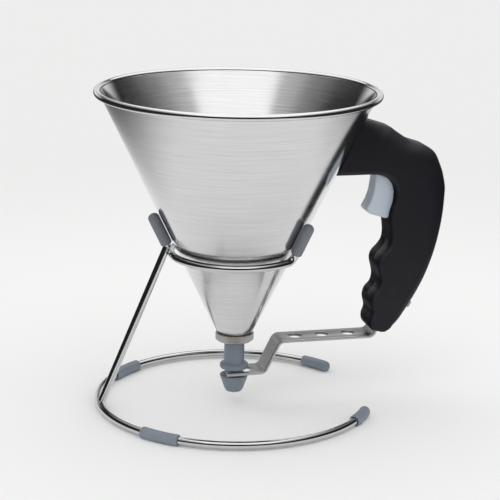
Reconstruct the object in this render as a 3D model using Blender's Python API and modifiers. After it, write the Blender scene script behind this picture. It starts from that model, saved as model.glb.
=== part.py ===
"""Fondant funnel: a steel dosing cone with a trigger handle, resting in its wire stand.

Metres, +Z up. The cone's axis is vertical, the floor is Z = 0 and the handle points along +X.
"""

import math

import bmesh
import bpy
import numpy as np
from mathutils import Matrix, Vector

# Clearances and shared counts
GAP = 0.0003
OVERRUN = 0.004
ROUND_STEPS = 72
COLLAR_STEPS = 48
SMALL_STEPS = 36
SCREW_STEPS = 16
ARC_STEPS = 4

# Cone, its rolled rim and its outlet
RIM_DIAMETER = 0.1912
RIM_BEAD_DIAMETER = 0.0044
RIM_BEAD_OFFSET = 0.0012
RIM_HEIGHT = 0.218
SHEET_THICKNESS = 0.0009
OUTLET_DIAMETER = 0.0242
OUTLET_HEIGHT = 0.0503

# Threaded ferrule under the cone, its gasket and its nut
FERRULE_RISE_HEIGHT = 0.0057
THREAD_DIAMETER = 0.0192
THREAD_LENGTH = 0.0027
SEAT_DEPTH = 0.0020
SEAT_RISE_HEIGHT = 0.0017
GASKET_THICKNESS = 0.0012
NUT_DIAMETER = 0.0262
NUT_LIP_THICKNESS = 0.0016
NUT_EDGE_WIDTH = 0.0010

# Sliding nozzle: tube, flange, groove for the fork and tapered tip
NOZZLE_TUBE_DIAMETER = 0.0139
NOZZLE_BORE_DIAMETER = 0.0088
NOZZLE_TIP_HEIGHT = 0.0077
NOZZLE_TIP_DIAMETER = 0.0112
TIP_LENGTH = 0.0116
TIP_SHOULDER_DIAMETER = 0.0194
GROOVE_DIAMETER = 0.0124
GROOVE_HEIGHT = 0.0050
FLANGE_DIAMETER = 0.0196
FLANGE_HEIGHT = 0.0037
EDGE_RADIUS = 0.0008
HEAD_DIAMETER = 0.0176
HEAD_HEIGHT = 0.0035
PORT_WIDTH = 0.0042
PORT_HEIGHT = 0.0044
SEAL_THICKNESS = 0.0018

# Wire stand
WIRE_DIAMETER = 0.0052
SLEEVE_DIAMETER = 0.0078
SLEEVE_FLAT_DEPTH = 0.0005
BASE_RING_RADIUS = 0.0932
BASE_MOUTH_ANGLE = math.radians(29.0)
END_CAP_LENGTH = 0.0235
FOOT_SLEEVE_LENGTH = 0.0280
FOOT_SLEEVE_ANGLE = math.radians(46.0)
SUPPORT_RING_HEIGHT = 0.1065
SUPPORT_MOUTH_ANGLE = math.radians(45.0)
SUPPORT_BEND_LENGTH = 0.0060
SUPPORT_SLEEVE_LENGTH = 0.0235
CAP_WALL_THICKNESS = 0.0020
SLEEVE_ROUNDING_SHARE = 0.45
SLEEVE_LEAST_SHARE = 0.84
DOME_LEAST_SHARE = 0.30
SLEEVE_SPACING = 0.0040
LEG_BEND_LENGTH = 0.0020
LEG_SLEEVE_START_SHARE = 0.6

# Handle: depth runs from the cone's wall to its back, length from its lower end to its top
HANDLE_DEPTH = 0.0807
HANDLE_LENGTH = 0.1493
HANDLE_BELOW_RIM_HEIGHT = 0.0210
HANDLE_THICKNESS = 0.0260
HANDLE_WALL_THICKNESS = 0.0024
HANDLE_EDGE_RADIUS = 0.0070
MOUTH_EDGE_RADIUS = 0.0036
UNDERSIDE_SHARE = 0.7445

# Outlines of the handle, as shares of its depth and of its length
HEAD_UNDERSIDE_SHARES = (
    (-0.057, 0.7445), (0.167, 0.7445), (0.340, 0.7445), (0.415, 0.738), (0.478, 0.722),
    (0.523, 0.692), (0.540, 0.6585),
)
HEAD_TOP_SHARES = (
    (0.135, 1.020), (0.358, 0.981), (0.487, 0.959), (0.539, 0.940), (0.628, 0.908),
    (0.682, 0.892), (0.767, 0.877), (0.818, 0.866), (0.896, 0.834), (0.946, 0.780),
    (0.973, 0.742),
)
GRIP_FRONT_SHARES = (
    (0.540, 0.6585), (0.535, 0.615), (0.511, 0.570), (0.503, 0.528), (0.517, 0.454),
    (0.506, 0.411), (0.470, 0.382), (0.423, 0.354), (0.408, 0.320), (0.434, 0.252),
    (0.418, 0.208), (0.374, 0.180), (0.356, 0.143), (0.373, 0.093), (0.354, 0.056),
    (0.357, 0.026), (0.385, 0.006), (0.440, 0.000),
)
GRIP_BACK_SHARES = (
    (0.973, 0.742), (0.998, 0.681), (1.000, 0.634), (0.988, 0.539), (0.958, 0.444),
    (0.913, 0.350), (0.848, 0.255), (0.758, 0.160), (0.647, 0.066), (0.580, 0.028),
    (0.547, 0.009), (0.506, 0.000),
)
HEAD_STATIONS = 16
GRIP_STATIONS = 36
CAVITY_FIRST_STATION = 6
CAVITY_LAST_STATION = 49

# Bracket on the cone, the fasteners and the pins
BRACKET_THICKNESS = 0.0015
BRACKET_WIDTH = 0.0220
BRACKET_INSET = 0.0020
TONGUE_THICKNESS = 0.0030
TONGUE_HEIGHT_SHARES = (0.788, 0.940)
TONGUE_REACH_SHARE = 0.368
SCREW_DIAMETER = 0.0028
SCREW_HEAD_DIAMETER = 0.0056
SCREW_HEAD_HEIGHT = 0.0018
SCREW_RECESS_DEPTH = 0.0005
SCREW_REACH_LENGTH = 0.0090
BOSS_DIAMETER = 0.0090
BRACKET_SCREW_SHARES = ((0.279, 0.900), (0.192, 0.813))
GRIP_SCREW_SHARES = ((0.787, 0.537), (0.701, 0.283))
PIN_DIAMETER = 0.0030
PIN_COVER_THICKNESS = 0.0010

# Trigger and its spring
TRIGGER_WIDTH = 0.0140
TRIGGER_EDGE_RADIUS = 0.0012
TRIGGER_PIVOT_SHARE = (0.496, 0.782)
TRIGGER_SHARES = (
    (0.379, 0.773), (0.379, 0.728), (0.377, 0.700), (0.363, 0.652), (0.340, 0.615),
    (0.306, 0.582), (0.309, 0.569), (0.336, 0.557), (0.403, 0.546), (0.489, 0.530),
    (0.539, 0.547), (0.566, 0.598), (0.566, 0.632), (0.545, 0.699), (0.570, 0.746),
    (0.669, 0.766), (0.669, 0.796), (0.572, 0.796), (0.545, 0.810), (0.496, 0.812),
    (0.426, 0.806),
)
TRIGGER_TAIL_SHARE = 0.796
TRIGGER_SLOT_SHARES = ((0.366, 0.523), (0.585, 0.833))
SPRING_SEAT_SHARES = ((0.570, 0.849), (0.669, 0.866))
SPRING_DIAMETER = 0.0060
SPRING_WIRE_DIAMETER = 0.0007
SPRING_TURNS = 4
SPRING_POINTS_PER_TURN = 10

# Dosing arm: one bent strip from the nozzle's fork to the trigger
ARM_WIDTH = 0.0200
ARM_THICKNESS = 0.0020
ARM_FORK_REACH_LENGTH = 0.0070
ARM_STEP_DISTANCE = 0.0196
ARM_STEP_LENGTH = 0.0107
ARM_HANDLE_CLEARANCE = 0.0031
ARM_BEND_RADIUS = 0.0050
FORK_SLOT_LENGTH = 0.0114
FORK_CLEARANCE = 0.0003
ARM_HOLE_DIAMETER = 0.0088
ARM_HOLE_COUNT = 3
ARM_HOLE_DISTANCE = 0.0127
ARM_HOLE_PITCH = 0.0191
LEG_WIDTH = 0.0120
LEG_LOWER_SHARE = (0.420, 0.122)
LEG_KNEE_SHARE = (0.582, 0.412)
LEG_TOP_SHARE = (0.582, 0.632)
BUSH_DIAMETER = 0.0056
MOUTH_CLEARANCE = 0.0009
MOUTH_SWING_CLEARANCE = 0.0010

# Flow button at the back of the handle
BUTTON_PLACE_SHARE = 0.80
BUTTON_TRAVEL_LENGTH = 0.0080
BUTTON_LENGTH = 0.0050
BUTTON_WIDTH = 0.0090
BUTTON_HEIGHT = 0.0036
BUTTON_NECK_WIDTH = 0.0040
BUTTON_NECK_LENGTH = 0.0036
BUTTON_PLATE_WIDTH = 0.0100
BUTTON_PLATE_LENGTH = 0.0070
BUTTON_PLATE_THICKNESS = 0.0014

# Places worked out from the sizes above
RIM_RADIUS = RIM_DIAMETER / 2
BEAD_RADIUS = RIM_BEAD_DIAMETER / 2
BEAD_CENTRE_RADIUS = RIM_RADIUS - BEAD_RADIUS
BEAD_CENTRE_HEIGHT = RIM_HEIGHT - BEAD_RADIUS
OUTLET_RADIUS = OUTLET_DIAMETER / 2
CONE_TAPER = (BEAD_CENTRE_RADIUS - RIM_BEAD_OFFSET - OUTLET_RADIUS) / (
    BEAD_CENTRE_HEIGHT - OUTLET_HEIGHT)
CONE_ANGLE = math.atan(CONE_TAPER)
WIRE_RADIUS = WIRE_DIAMETER / 2
SLEEVE_RADIUS = SLEEVE_DIAMETER / 2
SLEEVE_BORE_RADIUS = WIRE_RADIUS + GAP
BASE_RING_HEIGHT = SLEEVE_RADIUS - SLEEVE_FLAT_DEPTH
TUBE_RADIUS = NOZZLE_TUBE_DIAMETER / 2
GUIDE_RADIUS = TUBE_RADIUS + GAP
FERRULE_BOTTOM = OUTLET_HEIGHT - THREAD_LENGTH
GASKET_BOTTOM = FERRULE_BOTTOM - GAP - GASKET_THICKNESS
NUT_TOP = OUTLET_HEIGHT - GAP
NUT_LIP_TOP = GASKET_BOTTOM - GAP
NUT_BOTTOM = NUT_LIP_TOP - NUT_LIP_THICKNESS
SEAT_BOTTOM = OUTLET_HEIGHT + SEAT_RISE_HEIGHT
GROOVE_BOTTOM = NOZZLE_TIP_HEIGHT + TIP_LENGTH
GROOVE_TOP = GROOVE_BOTTOM + GROOVE_HEIGHT
FLANGE_TOP = GROOVE_TOP + FLANGE_HEIGHT
FORK_HEIGHT = GROOVE_BOTTOM + GROOVE_HEIGHT / 2
HANDLE_BOTTOM = RIM_HEIGHT - HANDLE_BELOW_RIM_HEIGHT - HANDLE_LENGTH


def cone_radius(height, outward=0.0):
    """Radius of the cone's outer face at a height, or of a face parallel to it."""
    return OUTLET_RADIUS + (height - OUTLET_HEIGHT) * CONE_TAPER + outward / math.cos(CONE_ANGLE)


HANDLE_WALL_X = cone_radius(HANDLE_BOTTOM + UNDERSIDE_SHARE * HANDLE_LENGTH)


def at_handle(share):
    """The place on the handle's mid plane that a pair of shares names."""
    return (HANDLE_WALL_X + share[0] * HANDLE_DEPTH, HANDLE_BOTTOM + share[1] * HANDLE_LENGTH)


def clear_scene():
    for old in list(bpy.data.objects):
        bpy.data.objects.remove(old, do_unlink=True)


def new_collection(name):
    collection = bpy.data.collections.new(name)
    bpy.context.scene.collection.children.link(collection)
    return collection


def new_material(name, colour, roughness, metallic):
    material = bpy.data.materials.new(name)
    material.use_nodes = True
    shader = material.node_tree.nodes["Principled BSDF"]
    shader.inputs["Base Color"].default_value = (*colour, 1.0)
    shader.inputs["Roughness"].default_value = roughness
    shader.inputs["Metallic"].default_value = metallic
    material.diffuse_color = (*colour, 1.0)
    return material


clear_scene()
PIECES = new_collection("fondant_funnel")
CUTTERS = new_collection("cutters")

FINISHES = {
    "steel": ((0.60, 0.60, 0.61), 0.32, 1.0),
    "chrome": ((0.75, 0.75, 0.76), 0.10, 1.0),
    "black": ((0.022, 0.022, 0.024), 0.55, 0.0),
    "coated": ((0.020, 0.020, 0.021), 0.45, 0.4),
    "pale": ((0.36, 0.40, 0.46), 0.42, 0.0),
    "nozzle": ((0.16, 0.185, 0.21), 0.45, 0.0),
    "silicone": ((0.13, 0.15, 0.175), 0.60, 0.0),
    "spring": ((0.50, 0.50, 0.52), 0.25, 1.0),
}


def new_object(name, data, cutter=False):
    obj = bpy.data.objects.new(name, data)
    (CUTTERS if cutter else PIECES).objects.link(obj)
    if cutter:
        obj.hide_render = True
        obj.display_type = "WIRE"
    return obj


def mesh_object(name, shape, cutter=False):
    """A new object from a bmesh, which is freed."""
    mesh = bpy.data.meshes.new(name)
    shape.to_mesh(mesh)
    shape.free()
    return new_object(name, mesh, cutter)


def as_mesh(obj, cutter=False):
    """Replaces a curve, or an object with modifiers, by the welded mesh that it makes."""
    bpy.context.view_layer.update()
    graph = bpy.context.evaluated_depsgraph_get()
    mesh = bpy.data.meshes.new_from_object(obj.evaluated_get(graph))
    shape = bmesh.new()
    shape.from_mesh(mesh)
    bmesh.ops.remove_doubles(shape, verts=shape.verts, dist=GAP / 100)
    shape.to_mesh(mesh)
    shape.free()
    name = obj.name
    place = obj.matrix_world.copy()
    bpy.data.objects.remove(obj, do_unlink=True)
    made = new_object(name, mesh, cutter)
    made.matrix_world = place
    return made


def turned(name, profile, steps=ROUND_STEPS, closed=True, cutter=False):
    """A profile of radius and height pairs, turned about the Z axis."""
    shape = bmesh.new()
    points = [shape.verts.new((radius, 0.0, height)) for radius, height in profile]
    for first, second in zip(points, points[1:]):
        shape.edges.new((first, second))
    if closed:
        shape.edges.new((points[-1], points[0]))
    obj = mesh_object(name, shape, cutter)
    screw = obj.modifiers.new("turn", "SCREW")
    screw.axis = "Z"
    screw.steps = steps
    screw.render_steps = steps
    screw.use_merge_vertices = True
    screw.merge_threshold = GAP / 10
    return obj


def wire(name, points, radius, resolution=3, cyclic=False, factors=None, cutter=False):
    """A round bar along a list of points, thinner where the factors say so."""
    curve = bpy.data.curves.new(name, "CURVE")
    curve.dimensions = "3D"
    curve.bevel_depth = radius
    curve.bevel_resolution = resolution
    curve.use_fill_caps = True
    spline = curve.splines.new("POLY")
    spline.points.add(len(points) - 1)
    for index, point in enumerate(points):
        spline.points[index].co = (*point, 1.0)
        spline.points[index].radius = 1.0 if factors is None else factors[index]
    spline.use_cyclic_u = cyclic
    return new_object(name, curve, cutter)


def plate(name, outline, width, cutter=False):
    """A flat outline in the XZ plane, thickened evenly to both sides of it."""
    curve = bpy.data.curves.new(name, "CURVE")
    curve.dimensions = "2D"
    curve.fill_mode = "BOTH"
    curve.extrude = width / 2
    spline = curve.splines.new("POLY")
    spline.points.add(len(outline) - 1)
    for index, (x, z) in enumerate(outline):
        spline.points[index].co = (x, z, 0.0, 1.0)
    spline.use_cyclic_u = True
    obj = new_object(name, curve, cutter)
    obj.rotation_euler = (math.radians(90.0), 0.0, 0.0)
    obj = as_mesh(obj, cutter)
    obj.data.transform(obj.matrix_world)
    obj.matrix_world = Matrix.Identity(4)
    return obj


def block(name, low, high, cutter=True):
    """A box between two corners."""
    shape = bmesh.new()
    bmesh.ops.create_cube(shape, size=1.0)
    low, high = Vector(low), Vector(high)
    bmesh.ops.scale(shape, vec=high - low, verts=shape.verts)
    bmesh.ops.translate(shape, vec=(high + low) / 2, verts=shape.verts)
    return mesh_object(name, shape, cutter)


def rod(name, centre, radius, half_length, steps=SMALL_STEPS, cutter=True):
    """A cylinder along Y, given its centre and half its length."""
    shape = bmesh.new()
    bmesh.ops.create_cone(
        shape, cap_ends=True, segments=steps, radius1=radius, radius2=radius, depth=2 * half_length
    )
    bmesh.ops.rotate(shape, matrix=Matrix.Rotation(math.radians(90.0), 3, "X"), verts=shape.verts)
    bmesh.ops.translate(shape, vec=centre, verts=shape.verts)
    return mesh_object(name, shape, cutter)


def boolean(obj, tool, operation):
    modifier = obj.modifiers.new(tool.name, "BOOLEAN")
    modifier.operation = operation
    modifier.object = tool
    modifier.solver = "EXACT"


def cut(obj, *tools):
    for tool in tools:
        boolean(obj, tool, "DIFFERENCE")


def join(obj, *tools):
    for tool in tools:
        boolean(obj, tool, "UNION")


def smooth_path(points, count, steps=12):
    """Points spaced evenly along a smooth curve through the given ones."""
    given = np.array(points, dtype=float)
    padded = np.vstack((2 * given[0] - given[1], given, 2 * given[-1] - given[-2]))
    dense = []
    for index in range(1, len(padded) - 2):
        before, start, end, after = padded[index - 1:index + 3]
        for t in np.arange(steps) / steps:
            dense.append(0.5 * (
                2 * start + (end - before) * t
                + (2 * before - 5 * start + 4 * end - after) * t**2
                + (3 * start - before - 3 * end + after) * t**3
            ))
    dense.append(given[-1])
    dense = np.array(dense)
    run = np.concatenate(((0.0,), np.cumsum(np.linalg.norm(np.diff(dense, axis=0), axis=1))))
    wanted = np.linspace(0.0, run[-1], count)
    return np.stack([np.interp(wanted, run, column) for column in dense.T], axis=1)


def filleted(corners, radius, steps=ARC_STEPS):
    """A path through corners, with each inner corner rounded to a radius."""
    path = [Vector(corners[0])]
    for before, corner, after in zip(corners, corners[1:], corners[2:]):
        corner = Vector(corner)
        inward = (Vector(before) - corner).normalized()
        outward = (Vector(after) - corner).normalized()
        half = inward.angle(outward) / 2
        reach = radius / math.tan(half)
        centre = corner + (inward + outward).normalized() * (radius / math.sin(half))
        start = corner + inward * reach - centre
        end = corner + outward * reach - centre
        sweep = start.angle_signed(end)
        for step in range(steps + 1):
            turn = Matrix.Rotation(-sweep * step / steps, 2)
            path.append(centre + turn @ start)
    path.append(Vector(corners[-1]))
    return path


def thickened(path, thickness):
    """The outline of a strip of even thickness along a path in the XZ plane."""
    sides = ([], [])
    for index, point in enumerate(path):
        ahead = path[min(index + 1, len(path) - 1)] - path[max(index - 1, 0)]
        if 0 < index < len(path) - 1:
            first = (path[index] - path[index - 1]).normalized()
            second = (path[index + 1] - path[index]).normalized()
            ahead = first + second
            stretch = 1 / max(math.cos(first.angle(second) / 2), 0.5)
        else:
            stretch = 1.0
        normal = Vector((-ahead.y, ahead.x)).normalized() * (thickness / 2 * stretch)
        sides[0].append(point + normal)
        sides[1].append(point - normal)
    return [tuple(point) for point in sides[0] + sides[1][::-1]]


def arc(centre, radius, first, last, steps=ARC_STEPS):
    """Points of an arc in the XZ plane; angles in degrees, counted from +X towards +Z."""
    angles = np.radians(np.linspace(first, last, steps + 1))
    return [(centre[0] + radius * math.cos(a), centre[1] + radius * math.sin(a)) for a in angles]


def make_cone():
    """The spun cone: one sheet, its upper edge rolled over a bead."""
    normal = Vector((math.cos(CONE_ANGLE), -math.sin(CONE_ANGLE)))
    along = Vector((math.sin(CONE_ANGLE), math.cos(CONE_ANGLE)))
    centre = Vector((BEAD_CENTRE_RADIUS, BEAD_CENTRE_HEIGHT))
    outer_hit = -math.acos(-RIM_BEAD_OFFSET * math.cos(CONE_ANGLE) / BEAD_RADIUS)
    inner_reach = RIM_BEAD_OFFSET * math.cos(CONE_ANGLE) + SHEET_THICKNESS
    inner_hit = 2 * math.pi - math.acos(-inner_reach / BEAD_RADIUS)
    profile = []
    for angle in np.linspace(inner_hit, outer_hit, 3 * ARC_STEPS):
        point = centre + (normal * math.cos(angle) + along * math.sin(angle)) * BEAD_RADIUS
        profile.append(tuple(point))
    profile.append((OUTLET_RADIUS, OUTLET_HEIGHT))
    profile.append((cone_radius(OUTLET_HEIGHT, -SHEET_THICKNESS), OUTLET_HEIGHT))
    return turned("funnel_cone", profile)


def make_ferrule():
    """The turned outlet, welded in the cone: thread outside, guide bore and valve seat inside."""
    inset = -SHEET_THICKNESS - GAP
    top = OUTLET_HEIGHT + FERRULE_RISE_HEIGHT
    seat_top = SEAT_BOTTOM + SEAT_DEPTH
    profile = [
        (cone_radius(top, inset), top),
        (cone_radius(OUTLET_HEIGHT, inset), OUTLET_HEIGHT),
        (THREAD_DIAMETER / 2, OUTLET_HEIGHT),
        (THREAD_DIAMETER / 2, FERRULE_BOTTOM),
        (GUIDE_RADIUS, FERRULE_BOTTOM),
        (GUIDE_RADIUS, SEAT_BOTTOM),
        (GUIDE_RADIUS + SEAT_DEPTH, seat_top),
        (cone_radius(top, inset) - EDGE_RADIUS, top),
    ]
    return turned("outlet_ferrule", profile, COLLAR_STEPS)


def make_collar():
    """The nut that closes the outlet, and the gasket that it presses on the ferrule."""
    outer = NUT_DIAMETER / 2
    inner = THREAD_DIAMETER / 2 + GAP
    nut = turned("collar_nut", [
        (outer - EDGE_RADIUS / 2, NUT_TOP),
        (outer, NUT_TOP - EDGE_RADIUS / 2),
        (outer, NUT_BOTTOM + NUT_EDGE_WIDTH),
        (outer - NUT_EDGE_WIDTH, NUT_BOTTOM),
        (GUIDE_RADIUS, NUT_BOTTOM),
        (GUIDE_RADIUS, NUT_LIP_TOP),
        (inner, NUT_LIP_TOP),
        (inner, NUT_TOP),
    ], COLLAR_STEPS)
    gasket = turned("collar_gasket", [
        (THREAD_DIAMETER / 2, GASKET_BOTTOM + GASKET_THICKNESS),
        (THREAD_DIAMETER / 2, GASKET_BOTTOM),
        (GUIDE_RADIUS, GASKET_BOTTOM),
        (GUIDE_RADIUS, GASKET_BOTTOM + GASKET_THICKNESS),
    ], SMALL_STEPS)
    return nut, gasket


def seal_centre():
    """Centre of the valve seal's section, resting on the middle of the sloping seat."""
    radius = GUIDE_RADIUS + SEAT_DEPTH / 2
    height = SEAT_BOTTOM + SEAT_DEPTH / 2
    stand_off = (SEAL_THICKNESS / 2 + GAP) / math.sqrt(2.0)
    return radius - stand_off, height + stand_off


def make_nozzle():
    """The sliding nozzle: plug head, ported tube, flange, fork groove and tapered tip."""
    seal_radius, seal_height = seal_centre()
    neck = seal_radius - SEAL_THICKNESS / 2 - GAP
    neck_low = seal_height - SEAL_THICKNESS / 2 - GAP
    head_low = seal_height + SEAL_THICKNESS / 2 + GAP
    head_top = head_low + HEAD_HEIGHT
    head = HEAD_DIAMETER / 2
    flange = FLANGE_DIAMETER / 2
    shoulder = TIP_SHOULDER_DIAMETER / 2
    tip = NOZZLE_TIP_DIAMETER / 2
    bore = NOZZLE_BORE_DIAMETER / 2
    port_top = FERRULE_BOTTOM + THREAD_LENGTH + EDGE_RADIUS
    profile = [
        (0.0, head_top),
        (head * 0.62, head_top - HEAD_HEIGHT * 0.10),
        (head * 0.90, head_top - HEAD_HEIGHT * 0.36),
        (head, head_top - HEAD_HEIGHT * 0.64),
        (head, head_low),
        (neck, head_low),
        (neck, neck_low),
        (TUBE_RADIUS, neck_low),
        (TUBE_RADIUS, FLANGE_TOP),
        (flange - EDGE_RADIUS, FLANGE_TOP),
        (flange - EDGE_RADIUS * 0.3, FLANGE_TOP - EDGE_RADIUS * 0.3),
        (flange, FLANGE_TOP - EDGE_RADIUS),
        (flange, GROOVE_TOP + EDGE_RADIUS),
        (flange - EDGE_RADIUS * 0.3, GROOVE_TOP + EDGE_RADIUS * 0.3),
        (flange - EDGE_RADIUS, GROOVE_TOP),
        (GROOVE_DIAMETER / 2, GROOVE_TOP),
        (GROOVE_DIAMETER / 2, GROOVE_BOTTOM),
        (shoulder - EDGE_RADIUS * 0.5, GROOVE_BOTTOM),
        (shoulder, GROOVE_BOTTOM - EDGE_RADIUS * 0.5),
        (tip + EDGE_RADIUS, NOZZLE_TIP_HEIGHT + EDGE_RADIUS * 2),
        (tip, NOZZLE_TIP_HEIGHT + EDGE_RADIUS * 0.6),
        (tip - EDGE_RADIUS * 0.6, NOZZLE_TIP_HEIGHT),
        (bore, NOZZLE_TIP_HEIGHT),
        (bore, port_top),
        (0.0, port_top),
    ]
    nozzle = turned("nozzle_piston", profile, SMALL_STEPS, closed=False)
    reach = NOZZLE_TUBE_DIAMETER
    for index, (half_x, half_y) in enumerate(((reach, PORT_WIDTH / 2), (PORT_WIDTH / 2, reach))):
        low = (-half_x, -half_y, port_top - PORT_HEIGHT)
        cut(nozzle, block(f"port_cutter_{index}", low, (half_x, half_y, port_top - GAP)))
    ring = arc((seal_radius, seal_height), SEAL_THICKNESS / 2, 90.0, -225.0, 7)
    seal = turned("valve_seal", ring, SMALL_STEPS)
    return nozzle, seal


def ring_point(radius, angle, height):
    return Vector((radius * math.cos(angle), radius * math.sin(angle), height))


def base_arc(first, last, count):
    """Points of the base ring's centre line; angles from the handle's direction."""
    angles = np.linspace(first, last, count)
    return [ring_point(BASE_RING_RADIUS, angle, BASE_RING_HEIGHT) for angle in angles]


def along_path(points, distances):
    """Points at given distances along a path; beyond its ends it goes straight on."""
    dense = np.array([tuple(point) for point in points])
    run = np.concatenate(((0.0,), np.cumsum(np.linalg.norm(np.diff(dense, axis=0), axis=1))))
    first = (dense[0] - dense[1]) / run[1]
    last = (dense[-1] - dense[-2]) / (run[-1] - run[-2])
    made = []
    for distance in distances:
        point = np.array([np.interp(distance, run, column) for column in dense.T])
        point += first * max(-distance, 0.0) + last * max(distance - run[-1], 0.0)
        made.append(Vector(point))
    return made


def rounded_stations(length, closed_end):
    """Distances along a rubber sleeve and its thickness factor at each of them."""
    start = SLEEVE_RADIUS * SLEEVE_ROUNDING_SHARE
    end = SLEEVE_RADIUS if closed_end else start
    least = DOME_LEAST_SHARE if closed_end else SLEEVE_LEAST_SHARE
    stations = [
        (start * t, SLEEVE_LEAST_SHARE + (1.0 - SLEEVE_LEAST_SHARE) * math.sqrt(1.0 - (1.0 - t)**2))
        for t in (0.0, 0.2, 0.6)]
    middle = max(1, round((length - start - end) / SLEEVE_SPACING))
    stations += [(place, 1.0) for place in np.linspace(start, length - end, middle + 1)]
    stations += [
        (length - end * t, least + (1.0 - least) * math.sqrt(1.0 - (1.0 - t)**2))
        for t in ((0.65, 0.35, 0.12, 0.0) if closed_end else (0.6, 0.2, 0.0))]
    return stations


def rubber(name, points, closed_end):
    """A rubber sleeve on a wire: rounded ends, a bore, and a blind end where it is a cap."""
    length = sum((b - a).length for a, b in zip(points, points[1:]))
    stations = rounded_stations(length, closed_end)
    path = along_path(points, [distance for distance, _ in stations])
    body = as_mesh(wire(name, path, SLEEVE_RADIUS, factors=[factor for _, factor in stations]))
    stop = length - CAP_WALL_THICKNESS if closed_end else length + OVERRUN
    count = max(2, round((stop + OVERRUN) / SLEEVE_SPACING) + 1)
    bore = along_path(points, np.linspace(-OVERRUN, stop, count))
    cut(body, as_mesh(wire(f"{name}_bore", bore, SLEEVE_BORE_RADIUS, cutter=True), cutter=True))
    return body


def slope_point(angle, height):
    """A point on the centre line of a support's upright end, beside the cone."""
    stand_off = SLEEVE_RADIUS + GAP
    return ring_point(cone_radius(height, stand_off), angle, height)


def upright(angle, start):
    """Start and end of a support sleeve that lies along the cone."""
    rise = SUPPORT_SLEEVE_LENGTH * math.cos(CONE_ANGLE)
    return slope_point(angle, start), slope_point(angle, start + rise)


def make_stand():
    """The bent wires, welded at the leg, and the rubber on them."""
    cap_angle = END_CAP_LENGTH / BASE_RING_RADIUS
    first = BASE_MOUTH_ANGLE + (CAP_WALL_THICKNESS + GAP) / BASE_RING_RADIUS
    wire("base_ring", base_arc(first, 2 * math.pi - first, 73), WIRE_RADIUS)

    ring_radius = cone_radius(SUPPORT_RING_HEIGHT, SLEEVE_RADIUS + GAP)
    rise = SUPPORT_BEND_LENGTH * math.cos(CONE_ANGLE)
    sleeve_start = SUPPORT_RING_HEIGHT + rise + GAP
    sleeve_rise = SUPPORT_SLEEVE_LENGTH * math.cos(CONE_ANGLE)
    cap_drop = (CAP_WALL_THICKNESS + GAP) * math.cos(CONE_ANGLE)
    wire_end = sleeve_start + sleeve_rise - cap_drop
    bend_angle = SUPPORT_BEND_LENGTH / ring_radius
    path = []
    for side in (1, -1):
        angle = side * SUPPORT_MOUTH_ANGLE
        corner = slope_point(angle, SUPPORT_RING_HEIGHT)
        start = slope_point(angle, SUPPORT_RING_HEIGHT + rise)
        end = ring_point(ring_radius, angle + side * bend_angle, SUPPORT_RING_HEIGHT)
        bend = [slope_point(angle, wire_end)]
        for t in np.linspace(0.0, 1.0, 6):
            bend.append(start * (1 - t)**2 + corner * (2 * t * (1 - t)) + end * t**2)
        if side == 1:
            path += bend
            around = np.linspace(
                angle + bend_angle, 2 * math.pi - angle - bend_angle, 49)[1:-1]
            path += [ring_point(ring_radius, a, SUPPORT_RING_HEIGHT) for a in around]
        else:
            path += bend[::-1]
    wire("support_ring", path, WIRE_RADIUS)

    foot_centre = Vector((-BASE_RING_RADIUS, 0.0, BASE_RING_HEIGHT))
    ring_centre = Vector((-ring_radius, 0.0, SUPPORT_RING_HEIGHT))
    across = ring_centre - foot_centre
    lean = math.asin((WIRE_DIAMETER + GAP) / across.length)
    direction = Matrix.Rotation(-lean, 3, "Y") @ across.normalized()
    foot = foot_centre + direction * (WIRE_RADIUS + GAP)
    low = slope_point(math.pi, SUPPORT_RING_HEIGHT)
    slope = (slope_point(math.pi, RIM_HEIGHT) - low).normalized()
    run = ((low - foot).x * slope.z - (low - foot).z * slope.x) / (
        direction.x * slope.z - direction.z * slope.x)
    knee = foot + direction * run
    leg_start = knee.z + LEG_BEND_LENGTH * LEG_SLEEVE_START_SHARE * math.cos(CONE_ANGLE)
    leg_path = [foot, foot + direction * (run - LEG_BEND_LENGTH)]
    for t in (0.25, 0.5, 0.75, 1.0):
        leg_path.append(
            (knee - direction * LEG_BEND_LENGTH) * (1 - t)**2 + knee * (2 * t * (1 - t))
            + (knee + slope * LEG_BEND_LENGTH) * t**2)
    leg_path.append(slope_point(math.pi, leg_start + sleeve_rise - cap_drop))
    wire("stand_leg", leg_path, WIRE_RADIUS)

    rubber("leg_sleeve", upright(math.pi, leg_start), True)
    for side, place in ((-1, "front"), (1, "rear")):
        rubber(
            f"support_sleeve_{place}",
            upright(side * SUPPORT_MOUTH_ANGLE, sleeve_start), True)
        middle = math.pi - side * FOOT_SLEEVE_ANGLE
        half = FOOT_SLEEVE_LENGTH / BASE_RING_RADIUS / 2
        foot_sleeve = rubber(
            f"foot_sleeve_{place}", base_arc(middle - half, middle + half, 9), False)
        mouth = side * BASE_MOUTH_ANGLE
        cap = rubber(
            f"end_cap_{place}", base_arc(mouth + side * cap_angle, mouth, 9), True)
        span = BASE_RING_RADIUS + SLEEVE_DIAMETER
        for piece in (foot_sleeve, cap):
            slab = block(
                f"floor_{piece.name}", (-span, -span, -SLEEVE_DIAMETER), (span, span, 0.0))
            cut(piece, slab)


def head_and_grip():
    """The handle's front and back edges, station by station from the cone to its lower end."""
    edges = []
    for head, grip in (
        (HEAD_UNDERSIDE_SHARES, GRIP_FRONT_SHARES), (HEAD_TOP_SHARES, GRIP_BACK_SHARES)
    ):
        first = smooth_path([at_handle(share) for share in head], HEAD_STATIONS)
        second = smooth_path([at_handle(share) for share in grip], GRIP_STATIONS)
        edges.append([Vector(point) for point in np.vstack((first, second[1:]))])
    return edges


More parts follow.
